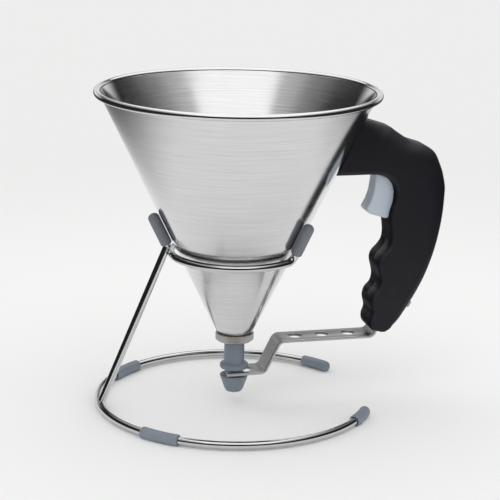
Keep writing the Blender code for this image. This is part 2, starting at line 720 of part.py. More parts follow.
def half_section(front, back, rounding, inset):
    """Half of the handle's section at a station: pairs of place along it and distance off it."""
    length = (back - front).length
    half = HANDLE_THICKNESS / 2 - inset
    radius = min(max(rounding - inset, GAP), length / 2 - inset - GAP)
    steps = ARC_STEPS - 1 if inset == 0 else 2
    points = [(inset, GAP / 2)]
    for angle in np.linspace(math.pi, math.pi / 2, steps + 1):
        points.append((
            inset + radius + radius * math.cos(angle), half - radius + radius * math.sin(angle)))
    for angle in np.linspace(math.pi / 2, 0.0, steps + 1):
        points.append((
            length - inset - radius + radius * math.cos(angle),
            half - radius + radius * math.sin(angle)))
    points.append((length - inset, GAP / 2))
    return points


def half_shell(name, side):
    """One moulded half of the handle: a closed tub, open at the mid plane."""
    fronts, backs = head_and_grip()
    last = len(fronts) - 1
    shape = bmesh.new()

    def section(index, inset):
        front, back = fronts[index], backs[index]
        along = (back - front).normalized()
        mouth = min(1.0, (last - index) / 6)
        rounding = MOUTH_EDGE_RADIUS + (HANDLE_EDGE_RADIUS - MOUTH_EDGE_RADIUS) * mouth
        made = []
        for place, off in half_section(front, back, rounding, inset):
            point = front + along * place
            made.append(shape.verts.new((point.x, side * off, point.y)))
        return made

    outer = [section(index, 0.0) for index in range(last + 1)]
    cavity = range(CAVITY_FIRST_STATION, CAVITY_LAST_STATION + 1)
    inner = [section(index, HANDLE_WALL_THICKNESS) for index in cavity]
    for rows in (outer, inner):
        for first, second in zip(rows, rows[1:]):
            for a, b, c, d in zip(first, first[1:], second[1:], second):
                shape.faces.new((a, b, c, d))
        shape.faces.new(rows[0])
        shape.faces.new(rows[-1])
    start, end = cavity[0], cavity[-1]
    for index in range(start, end):
        for edge in (0, -1):
            a, b = outer[index][edge], outer[index + 1][edge]
            c, d = inner[index - start + 1][edge], inner[index - start][edge]
            shape.faces.new((a, b, c, d))
    near = [row[0] for row in outer[:start + 1]] + [inner[0][0], inner[0][-1]]
    near += [row[-1] for row in outer[start::-1]]
    shape.faces.new(near)
    far = [row[0] for row in outer[:end - 1:-1]] + [inner[-1][0], inner[-1][-1]]
    far += [row[-1] for row in outer[end:]]
    shape.faces.new(far)
    bmesh.ops.recalc_face_normals(shape, faces=shape.faces)
    return mesh_object(name, shape)


def slab_between(name, shares, half_width):
    """A box about the mid plane, between two places given as shares of the handle."""
    low, high = at_handle(shares[0]), at_handle(shares[1])
    return block(name, (low[0], -half_width, low[1]), (high[0], half_width, high[1]))


def tongue_corners(clearance):
    """Opposite corners of the tongue's box, from the cone's wall into the handle."""
    (_, low), (reach, high) = (
        at_handle((TONGUE_REACH_SHARE, share)) for share in TONGUE_HEIGHT_SHARES)
    half = TONGUE_THICKNESS / 2 + clearance
    return (
        (cone_radius(low), -half, low - clearance), (reach + clearance, half, high + clearance))


def make_bracket():
    """The coated plate on the cone, with the tongue that the handle is screwed to."""
    top = HANDLE_BOTTOM + HANDLE_LENGTH - BRACKET_INSET
    low = HANDLE_BOTTOM + UNDERSIDE_SHARE * HANDLE_LENGTH + BRACKET_INSET
    half = BRACKET_WIDTH / 2
    bracket = block(
        "handle_bracket", (0.0, -half, low - OVERRUN), (RIM_RADIUS, half, top + OVERRUN),
        cutter=False)
    skin = turned("bracket_skin", [
        (cone_radius(top, GAP + BRACKET_THICKNESS), top),
        (cone_radius(low, GAP + BRACKET_THICKNESS), low),
        (cone_radius(low, GAP), low),
        (cone_radius(top, GAP), top),
    ], cutter=True)
    boolean(bracket, skin, "INTERSECT")
    tongue = block("bracket_tongue", *tongue_corners(0.0))
    trim = turned("tongue_trim", [
        (0.0, top), (cone_radius(top, GAP + BRACKET_THICKNESS / 2), top),
        (cone_radius(low - OVERRUN, GAP + BRACKET_THICKNESS / 2), low - OVERRUN),
        (0.0, low - OVERRUN),
    ], closed=False, cutter=True)
    cut(tongue, trim)
    join(bracket, tongue)
    for index, share in enumerate(BRACKET_SCREW_SHARES):
        x, z = at_handle(share)
        cut(bracket, rod(
            f"tongue_hole_{index}", (x, 0.0, z), SCREW_DIAMETER / 2 + GAP, TONGUE_THICKNESS))
    return bracket


def screw_parts(name, share):
    """Makes a pan-head screw put in from the rear; returns the cutters for its hole and head."""
    x, z = at_handle(share)
    face = HANDLE_THICKNESS / 2
    head_low = face - SCREW_RECESS_DEPTH - SCREW_HEAD_HEIGHT
    head = SCREW_HEAD_DIAMETER / 2
    shank = SCREW_DIAMETER / 2
    screw = turned(name, [
        (0.0, head_low + SCREW_HEAD_HEIGHT),
        (head * 0.7, head_low + SCREW_HEAD_HEIGHT),
        (head, head_low + SCREW_HEAD_HEIGHT * 0.5),
        (head, head_low),
        (shank, head_low),
        (shank, shank - SCREW_REACH_LENGTH),
        (0.0, -SCREW_REACH_LENGTH),
    ], SCREW_STEPS, closed=False)
    screw.matrix_world = (
        Matrix.Translation((x, 0.0, z)) @ Matrix.Rotation(math.radians(-90.0), 4, "X"))
    screw = as_mesh(screw)
    screw.data.transform(screw.matrix_world)
    screw.matrix_world = Matrix.Identity(4)
    hole_half = (head_low + OVERRUN + SCREW_REACH_LENGTH + GAP) / 2
    hole_middle = (head_low + OVERRUN - SCREW_REACH_LENGTH - GAP) / 2
    hole = rod(f"{name}_hole", (x, hole_middle, z), shank + GAP, hole_half, SCREW_STEPS)
    recess = rod(
        f"{name}_recess", (x, head_low - GAP + OVERRUN, z), head + GAP, OVERRUN, SCREW_STEPS)
    return hole, recess


def button_frame():
    """Middle of the flow button on the handle's back, and the directions along and off it."""
    path = smooth_path([at_handle(share) for share in GRIP_BACK_SHARES], 101)
    index = round(BUTTON_PLACE_SHARE * 100)
    along = Vector(path[index - 3] - path[index + 3]).normalized()
    return Vector(path[index]), along, Vector((along.y, -along.x))


def turned_box(name, low, high, cutter=True):
    """A box in the flow button's own directions: along the back, across it, and off it."""
    origin, along, off = button_frame()
    box = block(name, low, high, cutter)
    box.data.transform(Matrix((
        (along.x, 0.0, off.x, origin.x),
        (0.0, -1.0, 0.0, 0.0),
        (along.y, 0.0, off.y, origin.y),
        (0.0, 0.0, 0.0, 1.0),
    )))
    return box


def make_button():
    """The thumb button in its slot, with the plate that holds it inside the handle."""
    length, width = BUTTON_LENGTH / 2, BUTTON_WIDTH / 2
    button = turned_box(
        "flow_button", (-length, -width, GAP * 2), (length, width, BUTTON_HEIGHT), cutter=False)
    edge = button.modifiers.new("edge", "BEVEL")
    edge.width = BUTTON_HEIGHT / 3
    edge.segments = 2
    neck_length, neck_width = BUTTON_NECK_LENGTH / 2, BUTTON_NECK_WIDTH / 2
    plate_top = -HANDLE_WALL_THICKNESS - GAP * 2
    neck = turned_box(
        "button_neck", (-neck_length, -neck_width, plate_top - GAP),
        (neck_length, neck_width, BUTTON_HEIGHT / 2))
    plate_length, plate_width = BUTTON_PLATE_LENGTH / 2, BUTTON_PLATE_WIDTH / 2
    inside = turned_box(
        "button_plate", (-plate_length, -plate_width, plate_top - BUTTON_PLATE_THICKNESS),
        (plate_length, plate_width, plate_top))
    join(button, neck, inside)
    slot = turned_box(
        "button_slot", (-neck_length - GAP, -neck_width - GAP, -HANDLE_WALL_THICKNESS - OVERRUN / 2),
        (neck_length + BUTTON_TRAVEL_LENGTH + GAP, neck_width + GAP, OVERRUN))
    return button, slot


def make_handle():
    """Both shells with their bosses, slots and holes, and the screws and pins in them."""
    shells = {1: half_shell("handle_shell_rear", 1), -1: half_shell("handle_shell_front", -1)}
    face = HANDLE_THICKNESS / 2
    inner_face = face - HANDLE_WALL_THICKNESS
    seat_low, seat_high = at_handle(SPRING_SEAT_SHARES[0]), at_handle(SPRING_SEAT_SHARES[1])
    for side, shell in shells.items():
        for index, share in enumerate(GRIP_SCREW_SHARES):
            x, z = at_handle(share)
            half = (inner_face + HANDLE_WALL_THICKNESS / 2 - GAP / 2) / 2
            boss = rod(
                f"boss_{side}_{index}", (x, side * (half + GAP / 2), z), BOSS_DIAMETER / 2, half)
            join(shell, boss)
        near, far = sorted((side * GAP / 2, side * (inner_face + HANDLE_WALL_THICKNESS / 2)))
        join(shell, block(
            f"spring_seat_{side}", (seat_low[0], near, seat_low[1]),
            (seat_high[0], far, seat_high[1])))

    margin = GAP + BRACKET_THICKNESS + GAP
    top, low = RIM_HEIGHT, OUTLET_HEIGHT
    cone_trim = turned("cone_trim", [
        (0.0, top), (cone_radius(top, margin), top), (cone_radius(low, margin), low), (0.0, low),
    ], closed=False, cutter=True)
    tongue_slot = block("tongue_slot", *tongue_corners(GAP))
    trigger_slot = slab_between("trigger_slot", TRIGGER_SLOT_SHARES, TRIGGER_WIDTH / 2 + GAP)
    leg_x, leg_z = at_handle(LEG_LOWER_SHARE)
    mouth = block(
        "arm_mouth",
        (leg_x - ARM_THICKNESS / 2 - MOUTH_SWING_CLEARANCE, -ARM_WIDTH / 2 - MOUTH_CLEARANCE,
         HANDLE_BOTTOM - OVERRUN),
        (leg_x + ARM_THICKNESS / 2 + MOUTH_SWING_CLEARANCE, ARM_WIDTH / 2 + MOUTH_CLEARANCE,
         leg_z + MOUTH_CLEARANCE))
    button, button_slot = make_button()
    for shell in shells.values():
        cut(shell, cone_trim, tongue_slot, trigger_slot, mouth, button_slot)

    screws = [("bracket_screw_upper", BRACKET_SCREW_SHARES[0]),
              ("bracket_screw_lower", BRACKET_SCREW_SHARES[1]),
              ("grip_screw_upper", GRIP_SCREW_SHARES[0]),
              ("grip_screw_lower", GRIP_SCREW_SHARES[1])]
    for name, share in screws:
        hole, recess = screw_parts(name, share)
        cut(shells[1], hole, recess)
        cut(shells[-1], hole)

    for name, share in (("trigger_pin", TRIGGER_PIVOT_SHARE), ("arm_pin", None)):
        x, z = at_handle(share) if share else arm_pivot()
        half = face - PIN_COVER_THICKNESS - GAP
        rod(name, (x, 0.0, z), PIN_DIAMETER / 2, half, SCREW_STEPS, cutter=False)
        for shell in shells.values():
            cut(shell, rod(
                f"{name}_hole_{shell.name}", (x, 0.0, z), PIN_DIAMETER / 2 + GAP, half + GAP,
                SCREW_STEPS))


def arm_pivot():
    """The arm's pin, just behind its upright leg."""
    x, z = at_handle(LEG_LOWER_SHARE)
    back = x + ARM_THICKNESS / 2 + GAP + BUSH_DIAMETER / 2
    return back, z - BUSH_DIAMETER * 1.2


def make_arm():
    """The bent strip with its fork and holes, and the bush welded behind its leg."""
    upper = HANDLE_BOTTOM - ARM_HANDLE_CLEARANCE - ARM_THICKNESS / 2
    leg_x, leg_z = at_handle(LEG_LOWER_SHARE)
    corners = [
        (-ARM_FORK_REACH_LENGTH, FORK_HEIGHT),
        (ARM_STEP_DISTANCE, FORK_HEIGHT),
        (ARM_STEP_DISTANCE + ARM_STEP_LENGTH, upper),
        (leg_x, upper),
        (leg_x, leg_z),
        at_handle(LEG_KNEE_SHARE),
        at_handle(LEG_TOP_SHARE),
    ]
    arm = plate("dosing_arm", thickened(filleted(corners, ARM_BEND_RADIUS), ARM_THICKNESS), ARM_WIDTH)
    slot_half = GROOVE_DIAMETER / 2 + FORK_CLEARANCE
    slot_outline = arc((FORK_SLOT_LENGTH - slot_half, 0.0), slot_half, -90.0, 90.0, 8)
    open_end = -ARM_FORK_REACH_LENGTH - OVERRUN
    slot_outline += [(open_end, slot_half), (open_end, -slot_half)]
    slot = plate("fork_slot", slot_outline, ARM_THICKNESS * 2, cutter=True)
    slot.data.transform(
        Matrix.Translation((0.0, 0.0, FORK_HEIGHT)) @ Matrix.Rotation(math.radians(90.0), 4, "X"))
    cut(arm, slot)
    first = ARM_STEP_DISTANCE + ARM_STEP_LENGTH + ARM_HOLE_DISTANCE
    for index in range(ARM_HOLE_COUNT):
        shape = bmesh.new()
        bmesh.ops.create_cone(
            shape, cap_ends=True, segments=SMALL_STEPS - ARC_STEPS * 3,
            radius1=ARM_HOLE_DIAMETER / 2, radius2=ARM_HOLE_DIAMETER / 2, depth=ARM_THICKNESS * 2)
        bmesh.ops.translate(
            shape, vec=(first + index * ARM_HOLE_PITCH, 0.0, upper), verts=shape.verts)
        cut(arm, mesh_object(f"arm_hole_{index}", shape, cutter=True))
    knee_x = at_handle(LEG_KNEE_SHARE)[0]
    top_z = at_handle(LEG_TOP_SHARE)[1]
    for side in (1, -1):
        near, far = sorted((side * LEG_WIDTH / 2, side * ARM_WIDTH))
        cut(arm, block(
            f"leg_side_{side}", (leg_x - OVERRUN, near, leg_z),
            (knee_x + OVERRUN, far, top_z + OVERRUN)))
    x, z = arm_pivot()
    bush = rod("arm_bush", (x, 0.0, z), BUSH_DIAMETER / 2, ARM_WIDTH / 2, cutter=False)
    cut(bush, rod(
        "bush_bore", (x, 0.0, z), PIN_DIAMETER / 2 + GAP, ARM_WIDTH / 2 + OVERRUN, SCREW_STEPS))
    return arm, bush


def make_trigger():
    """The finger trigger, hung from its pin, with a tail under the return spring."""
    outline = [at_handle(share) for share in TRIGGER_SHARES]
    trigger = plate("trigger", outline, TRIGGER_WIDTH)
    edge = trigger.modifiers.new("edge", "BEVEL")
    edge.width = TRIGGER_EDGE_RADIUS
    edge.segments = 2
    edge.limit_method = "ANGLE"
    edge.angle_limit = math.radians(50.0)
    x, z = at_handle(TRIGGER_PIVOT_SHARE)
    cut(trigger, rod(
        "trigger_bore", (x, 0.0, z), PIN_DIAMETER / 2 + GAP, TRIGGER_WIDTH, SCREW_STEPS))
    return trigger


def make_spring():
    """The compression spring between the trigger's tail and the seat in the handle."""
    seat = at_handle(SPRING_SEAT_SHARES[0])
    x = (seat[0] + at_handle(SPRING_SEAT_SHARES[1])[0]) / 2
    tail = HANDLE_BOTTOM + TRIGGER_TAIL_SHARE * HANDLE_LENGTH
    radius = (SPRING_DIAMETER - SPRING_WIRE_DIAMETER) / 2
    low = tail + GAP + SPRING_WIRE_DIAMETER / 2
    high = seat[1] - GAP - SPRING_WIRE_DIAMETER / 2
    points = []
    for index in range(SPRING_TURNS * SPRING_POINTS_PER_TURN + 1):
        angle = 2 * math.pi * index / SPRING_POINTS_PER_TURN
        share = index / (SPRING_TURNS * SPRING_POINTS_PER_TURN)
        points.append((
            x + radius * math.cos(angle), radius * math.sin(angle), low + (high - low) * share))
    places = np.array(points)
    apart = np.linalg.norm(places[:, None] - places[None], axis=2)
    order = np.arange(len(points))
    other_turn = np.abs(order[:, None] - order[None]) > SPRING_POINTS_PER_TURN / 2
    print(f"least gap between spring turns {apart[other_turn].min() - SPRING_WIRE_DIAMETER:.6f} m")
    return wire("return_spring", points, SPRING_WIRE_DIAMETER / 2, resolution=1)


BODY_PIECES = {
    "funnel": ("funnel_cone", "outlet_ferrule", "handle_bracket", "handle_shell_front",
               "handle_shell_rear", "bracket_screw_upper", "bracket_screw_lower",
               "grip_screw_upper", "grip_screw_lower", "trigger_pin", "arm_pin",
               "return_spring"),
    "trigger_pull": ("trigger",),
    "arm_swing": ("dosing_arm", "arm_bush"),
    "nozzle_slide": ("nozzle_piston", "valve_seal"),
    "gasket_slide": ("collar_gasket",),
    "nut_turn": ("collar_nut",),
    "button_slide": ("flow_button",),
}
PIECE_FINISHES = {
    "funnel_cone": "steel", "outlet_ferrule": "steel", "collar_nut": "steel",
    "dosing_arm": "steel", "arm_bush": "steel", "trigger_pin": "steel", "arm_pin": "steel",
    "bracket_screw_upper": "steel", "bracket_screw_lower": "steel",
    "grip_screw_upper": "steel", "grip_screw_lower": "steel",
    "handle_bracket": "coated", "handle_shell_front": "black", "handle_shell_rear": "black",
    "trigger": "pale", "flow_button": "pale", "nozzle_piston": "nozzle",
    "collar_gasket": "silicone", "valve_seal": "silicone", "return_spring": "spring",
    "base_ring": "chrome", "stand_leg": "chrome", "support_ring": "chrome",
}


def joint_places():
    """Where each moving group turns or slides."""
    button, _, _ = button_frame()
    trigger, arm = at_handle(TRIGGER_PIVOT_SHARE), arm_pivot()
    return {
        "funnel": (0.0, 0.0, OUTLET_HEIGHT),
        "trigger_pull": (trigger[0], 0.0, trigger[1]),
        "arm_swing": (arm[0], 0.0, arm[1]),
        "nozzle_slide": (0.0, 0.0, NOZZLE_TIP_HEIGHT),
        "gasket_slide": (0.0, 0.0, GASKET_BOTTOM),
        "nut_turn": (0.0, 0.0, NUT_BOTTOM),
        "button_slide": (button.x, 0.0, button.y),
    }


def dress(obj):
    """Gives a piece its own material and its smooth shading."""
    finish = PIECE_FINISHES.get(obj.name, "silicone")
    colour, roughness, metallic = FINISHES[finish]
    obj.data.materials.clear()
    obj.data.materials.append(new_material(obj.name, colour, roughness, metallic))
    if obj.type == "MESH":
        for face in obj.data.polygons:
            face.use_smooth = True
        obj.data.set_sharp_from_angle(angle=math.radians(35.0))


def centre_shift(pieces):
    """How far the assembly moves along X to bring the middle of its box to zero."""
    bpy.context.view_layer.update()
    graph = bpy.context.evaluated_depsgraph_get()
    low, high = math.inf, -math.inf
    for piece in pieces:
        mesh = piece.evaluated_get(graph).to_mesh()
        for vertex in mesh.vertices:
            place = piece.matrix_world @ vertex.co
            low, high = min(low, place.x), max(high, place.x)
        piece.evaluated_get(graph).to_mesh_clear()
    return -(low + high) / 2


def assemble():
    """Hangs each moving group from an empty on its joint, and centres the whole."""
    pieces = list(PIECES.objects)
    shift = centre_shift(pieces)
    frame = new_object("frame_origin", None)
    frame.location = (shift, 0.0, 0.0)
    anchors = {}
    for name, place in joint_places().items():
        anchors[name] = new_object(name, None)
        anchors[name].parent = frame
        anchors[name].location = place
    owners = {piece: group for group, names in BODY_PIECES.items() for piece in names}
    for piece in pieces:
        dress(piece)
        group = owners.get(piece.name)
        piece.parent = anchors[group] if group else frame
        if group:
            piece.data.transform(Matrix.Translation(-Vector(joint_places()[group])))
    for tool in CUTTERS.objects:
        tool.parent = frame
    return shift


make_cone()
make_ferrule()
make_collar()
make_nozzle()
make_stand()
make_bracket()
make_handle()
make_arm()
make_trigger()
make_spring()
FRAME_SHIFT = assemble()
print(f"frame shift {FRAME_SHIFT:.6f} m, wall at {HANDLE_WALL_X:.6f} m")
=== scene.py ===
import math

import bmesh
import bpy
import numpy as np
from mathutils import Matrix, Vector


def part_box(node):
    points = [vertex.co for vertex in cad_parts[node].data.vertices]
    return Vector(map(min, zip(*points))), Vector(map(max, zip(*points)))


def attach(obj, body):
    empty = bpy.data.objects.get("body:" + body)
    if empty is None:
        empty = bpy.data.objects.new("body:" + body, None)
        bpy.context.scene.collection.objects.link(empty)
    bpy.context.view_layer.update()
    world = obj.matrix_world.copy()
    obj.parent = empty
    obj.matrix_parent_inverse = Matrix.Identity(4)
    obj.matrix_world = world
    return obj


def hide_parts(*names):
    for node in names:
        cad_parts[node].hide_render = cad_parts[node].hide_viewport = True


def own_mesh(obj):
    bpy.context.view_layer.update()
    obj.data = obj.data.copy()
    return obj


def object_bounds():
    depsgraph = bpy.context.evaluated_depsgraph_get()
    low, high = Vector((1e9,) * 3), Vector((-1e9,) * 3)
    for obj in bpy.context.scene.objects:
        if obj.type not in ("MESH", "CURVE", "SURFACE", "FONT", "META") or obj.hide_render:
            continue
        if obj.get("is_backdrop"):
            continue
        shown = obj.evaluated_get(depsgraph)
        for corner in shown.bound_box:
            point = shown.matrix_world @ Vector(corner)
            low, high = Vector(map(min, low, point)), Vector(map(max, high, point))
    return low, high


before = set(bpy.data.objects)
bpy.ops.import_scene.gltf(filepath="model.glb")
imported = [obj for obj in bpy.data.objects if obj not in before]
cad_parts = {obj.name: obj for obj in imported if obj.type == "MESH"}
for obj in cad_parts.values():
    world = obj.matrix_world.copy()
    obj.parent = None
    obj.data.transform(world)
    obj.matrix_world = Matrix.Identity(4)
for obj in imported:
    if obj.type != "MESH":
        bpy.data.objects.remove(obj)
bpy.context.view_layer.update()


# ---- Studio -----------------------------------------------------------------------------------
# A pale table that runs on behind the funnel and a dark room in front, seen through a long lens.
# Over it hangs a soft box of three nested layers, seen in reflections only, with faded edges.

def put(tree, kind, inputs=None, **settings):
    """A new node with its settings; each input gets a value or a link."""
    made = tree.nodes.new(kind)
    for name, value in settings.items():
        setattr(made, name, value)
    for name, value in (inputs or {}).items():
        if isinstance(value, bpy.types.NodeSocket):
            tree.links.new(value, made.inputs[name])
        else:
            made.inputs[name].default_value = value
    return made.outputs[0] if made.outputs else made


def sums(tree, operation, first, second=0.0, third=0.0):
    return put(tree, "ShaderNodeMath", {0: first, 1: second, 2: third}, operation=operation)


def eased(tree, value, start, end):
    """A smooth step of the value from 0 at start to 1 at end."""
    return put(tree, "ShaderNodeMapRange", {
        "Value": value, "From Min": start, "From Max": end}, interpolation_type="SMOOTHSTEP")


def blend(tree, share, first, second):
    """The colour at a share of the way from the first one to the second."""
    return put(tree, "ShaderNodeMix", {0: share, 6: first, 7: second},
               data_type="RGBA").node.outputs[2]


def seen_axes(tree, vector):
    """The vector's parts to the right, away and up, as the camera stands."""
    facing = put(tree, "ShaderNodeVectorRotate", {"Vector": vector, "Angle": swing},
                 rotation_type="Z_AXIS")
    return put(tree, "ShaderNodeSeparateXYZ", {0: facing}).node.outputs


def show(name, data):
    """A new object in the scene."""
    made = bpy.data.objects.new(name, data)
    scene.collection.objects.link(made)
    return made


def show_shape(name, shape):
    """A new mesh object with the shape, which is used up."""
    mesh = bpy.data.meshes.new(name)
    shape.to_mesh(mesh)
    shape.free()
    return show(name, mesh)


def new_finish(name):
    """A new material, its tree, its shader and the object's own coordinates."""
    made = bpy.data.materials.new(name)
    made.use_nodes = True
    tree = made.node_tree
    return (made, tree, tree.nodes["Principled BSDF"],
            tree.nodes.new("ShaderNodeTexCoord").outputs["Object"])


cone_low, cone_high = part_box("funnel_cone")
axis_x = (cone_low.x + cone_high.x) / 2
scene = bpy.context.scene
scene.view_settings.view_transform = "Standard"

swing, pitch, roll = math.radians(13.5), math.radians(15.03), math.radians(0.95)
yaw = 0.00836
camera_away, camera_height = 1.1015, 0.4037
focal_pixels, picture_pixels, sensor_width = 1685.0, 500.0, 36.0
ahead = Vector((0.0, math.cos(pitch), -math.sin(pitch)))
across, above = Vector((1.0, 0.0, 0.0)), Vector((0.0, math.sin(pitch), math.cos(pitch)))
ahead, across = (
    ahead * math.cos(yaw) + across * math.sin(yaw), across * math.cos(yaw) - ahead * math.sin(yaw))
across, above = (
    across * math.cos(roll) + above * math.sin(roll),
    above * math.cos(roll) - across * math.sin(roll))
place = Matrix((across, above, -ahead)).transposed().to_4x4()
place.translation = (0.0, -camera_away, camera_height)
camera_data = bpy.data.cameras.new("photo_camera")
camera_data.sensor_width = sensor_width
camera_data.lens = focal_pixels / picture_pixels * sensor_width
camera_data.clip_start = 0.01
camera = show("photo_camera", camera_data)
camera.matrix_world = (
    Matrix.Translation((axis_x, 0.0, 0.0)) @ Matrix.Rotation(-swing, 4, "Z") @ place)
scene.camera = camera

backdrop, backdrop_gloss, room_gloss = 0.855, 0.80, 0.02
low_fill, high_fill = 0.76, 1.10
sweep_away, sweep_up = (0.66, 0.90), (0.45, 0.15)
world = bpy.data.worlds.new("studio")
scene.world = world
world.use_nodes = True
world.cycles.sampling_method = "NONE"
sky = world.node_tree
sky.nodes.clear()
_, depth, height = seen_axes(sky, put(sky, "ShaderNodeTexCoord"))
sweep = sums(sky, "MULTIPLY", eased(sky, depth, *sweep_away), eased(sky, height, *sweep_up))
gloss = sums(sky, "MULTIPLY_ADD", sweep, backdrop_gloss, room_gloss)
fill = put(sky, "ShaderNodeMapRange", {
    "Value": height, "From Min": 0.0, "From Max": 1.0, "To Min": low_fill, "To Max": high_fill})
path = sky.nodes.new("ShaderNodeLightPath")
level = put(sky, "ShaderNodeMix", {
    "Factor": path.outputs["Is Glossy Ray"], 2: fill, 3: gloss}, data_type="FLOAT")
level = put(sky, "ShaderNodeMix", {
    "Factor": path.outputs["Is Camera Ray"], 2: level, 3: backdrop}, data_type="FLOAT")
put(sky, "ShaderNodeOutputWorld", {
    "Surface": put(sky, "ShaderNodeBackground", {"Color": level})})

box_length, box_height, box_shift = 1.50, 0.60, (0.035, 0.03, 0.0)
for width, radiance in ((0.63, 1.26), (1.02, 0.52), (1.44, 0.21)):
    lamp_data = bpy.data.lights.new(f"soft_box_{width}", "AREA")
    lamp_data.shape = "RECTANGLE"
    lamp_data.size, lamp_data.size_y = width, box_length
    lamp_data.energy = radiance * math.pi * width * box_length
    lamp = show(lamp_data.name, lamp_data)
    lamp.matrix_world = (
        Matrix.Translation((axis_x, 0.0, box_height)) @ Matrix.Rotation(-swing, 4, "Z")
        @ Matrix.Translation(box_shift))
    lamp.visible_diffuse = lamp.visible_camera = False

table_radius, table_drop = 7.0, 0.00005
far_fade, side_fade, front_fade = (0.05, 0.80), (0.42, 0.20), (-0.58, -0.42)
# Painted light and shade on the table: it is paler near the funnel, which lifts the shadow that the
# funnel casts there. Seen in reflections, it is painted near black outside its lit middle, for the
# unlit room in front and at the sides.
near_white, far_grey, dim_grey = (
    (0.985, 0.985, 0.981, 1.0), (0.862, 0.862, 0.858, 1.0), (0.03, 0.03, 0.032, 1.0))
table_shape = bmesh.new()
bmesh.ops.create_circle(table_shape, cap_ends=True, segments=96, radius=table_radius)
table = show_shape("table", table_shape)
table.data.transform(Matrix.Translation((0.0, 0.0, -table_drop)))
table_finish, tree, shader, spot = new_finish("pale_table")
distance = put(tree, "ShaderNodeVectorMath", {0: spot}, operation="LENGTH").node.outputs["Value"]
tone = blend(tree, eased(tree, distance, *far_fade), near_white, far_grey)
across_table, along_table, _ = seen_axes(tree, spot)
lit = sums(
    tree, "MULTIPLY", eased(tree, sums(tree, "ABSOLUTE", across_table), *side_fade),
    eased(tree, along_table, *front_fade))
seen = tree.nodes.new("ShaderNodeLightPath").outputs["Is Glossy Ray"]
unlit = sums(tree, "MULTIPLY", seen, sums(tree, "SUBTRACT", 1.0, lit))
tree.links.new(blend(tree, unlit, tone, dim_grey), shader.inputs["Base Color"])
shader.inputs["Roughness"].default_value = 0.9
shader.inputs["Specular IOR Level"].default_value = 0.0
table.data.materials.append(table_finish)
table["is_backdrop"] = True


# ---- Funnel cone ------------------------------------------------------------------------------
# The cone is spun from 0.9 mm stainless sheet on a lathe and brushed round, inside and outside.
# The brushing leaves fine level lines and draws every reflection out up and down the slope.

outlet_radius, outlet_height = 0.0121, 0.0503
sheet = 0.0009
bead_radius, bead_inset = 0.0022, 0.0012
rim_radius = (cone_high.x - cone_low.x) / 2
bead_x, bead_z = rim_radius - bead_radius, cone_high.z - bead_radius
taper = (bead_x - bead_inset - outlet_radius) / (bead_z - outlet_height)
slope = math.atan(taper)


def cone_radius(z, outward=0.0):
    """The cone's outer radius at a height, or that of a face parallel to it."""
    return outlet_radius + (z - outlet_height) * taper + outward / math.cos(slope)


def group(name, wanted, outputs=None):
    """A node group and its named inputs' values; without named outputs it grows geometry."""
    tree = bpy.data.node_groups.new(name, "ShaderNodeTree" if outputs else "GeometryNodeTree")
    for way, named in (("INPUT", wanted), ("OUTPUT", outputs or {"Geometry": "Geometry"})):
        for label, kind in named.items():
            tree.interface.new_socket(label, in_out=way, socket_type=f"NodeSocket{kind}")
    return tree, tree.nodes.new("NodeGroupInput").outputs


def close_tree(tree, geometry, finish):
    """Real geometry with its material, as the tree's last steps."""
    solid = put(tree, "GeometryNodeRealizeInstances", {"Geometry": geometry})
    dressed = put(tree, "GeometryNodeSetMaterial", {"Geometry": solid, "Material": finish})
    put(tree, "NodeGroupOutput", {"Geometry": dressed})
    return tree


def as_plain(obj, sharp=35.0):
    """The finished shape of an object as a plain, welded mesh that faces outwards."""
    bpy.context.view_layer.update()
    graph = bpy.context.evaluated_depsgraph_get()
    mesh = bpy.data.meshes.new_from_object(obj.evaluated_get(graph))
    mesh.transform(obj.matrix_world)
    name = obj.name
    bpy.data.objects.remove(obj, do_unlink=True)
    shape = bmesh.new()
    shape.from_mesh(mesh)
    bmesh.ops.remove_doubles(shape, verts=shape.verts, dist=2e-6)
    bmesh.ops.delete(shape, geom=[e for e in shape.edges if not e.link_faces], context="EDGES")
    bmesh.ops.recalc_face_normals(shape, faces=shape.faces)
    shape.to_mesh(mesh)
    shape.free()
    mesh.name = name
    mesh.polygons.foreach_set("use_smooth", [True] * len(mesh.polygons))
    mesh.set_sharp_from_angle(angle=math.radians(sharp))
    return show(name, mesh)


def grown(name, tree, inputs, source=None, sharp=35.0):
    """A plain mesh grown by a node tree; the inputs are set by their identifiers."""
    obj = show(name, source or bpy.data.meshes.new(name))
    growth = obj.modifiers.new("growth", "NODES")
    growth.node_group = tree
    known = {item.name: item.identifier for item in tree.interface.items_tree
             if item.in_out == "INPUT"}
    for label, value in inputs.items():
        growth[known[label]] = value
    return as_plain(obj, sharp)


def outline_mesh(name, points):
    """A line of edges through the points."""
    mesh = bpy.data.meshes.new(name)
    mesh.from_pydata(points, [(i, i + 1) for i in range(len(points) - 1)], [])
    return mesh


def fit(piece, body, slot, finish, *nodes):
    """Gives a piece its material and the body that it rides on, and hides the CAD nodes it stands
    for.
    """
    piece.data.materials.clear()
    piece.data.materials.append(finish)
    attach(piece, body)
    if nodes:
        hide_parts(*nodes)


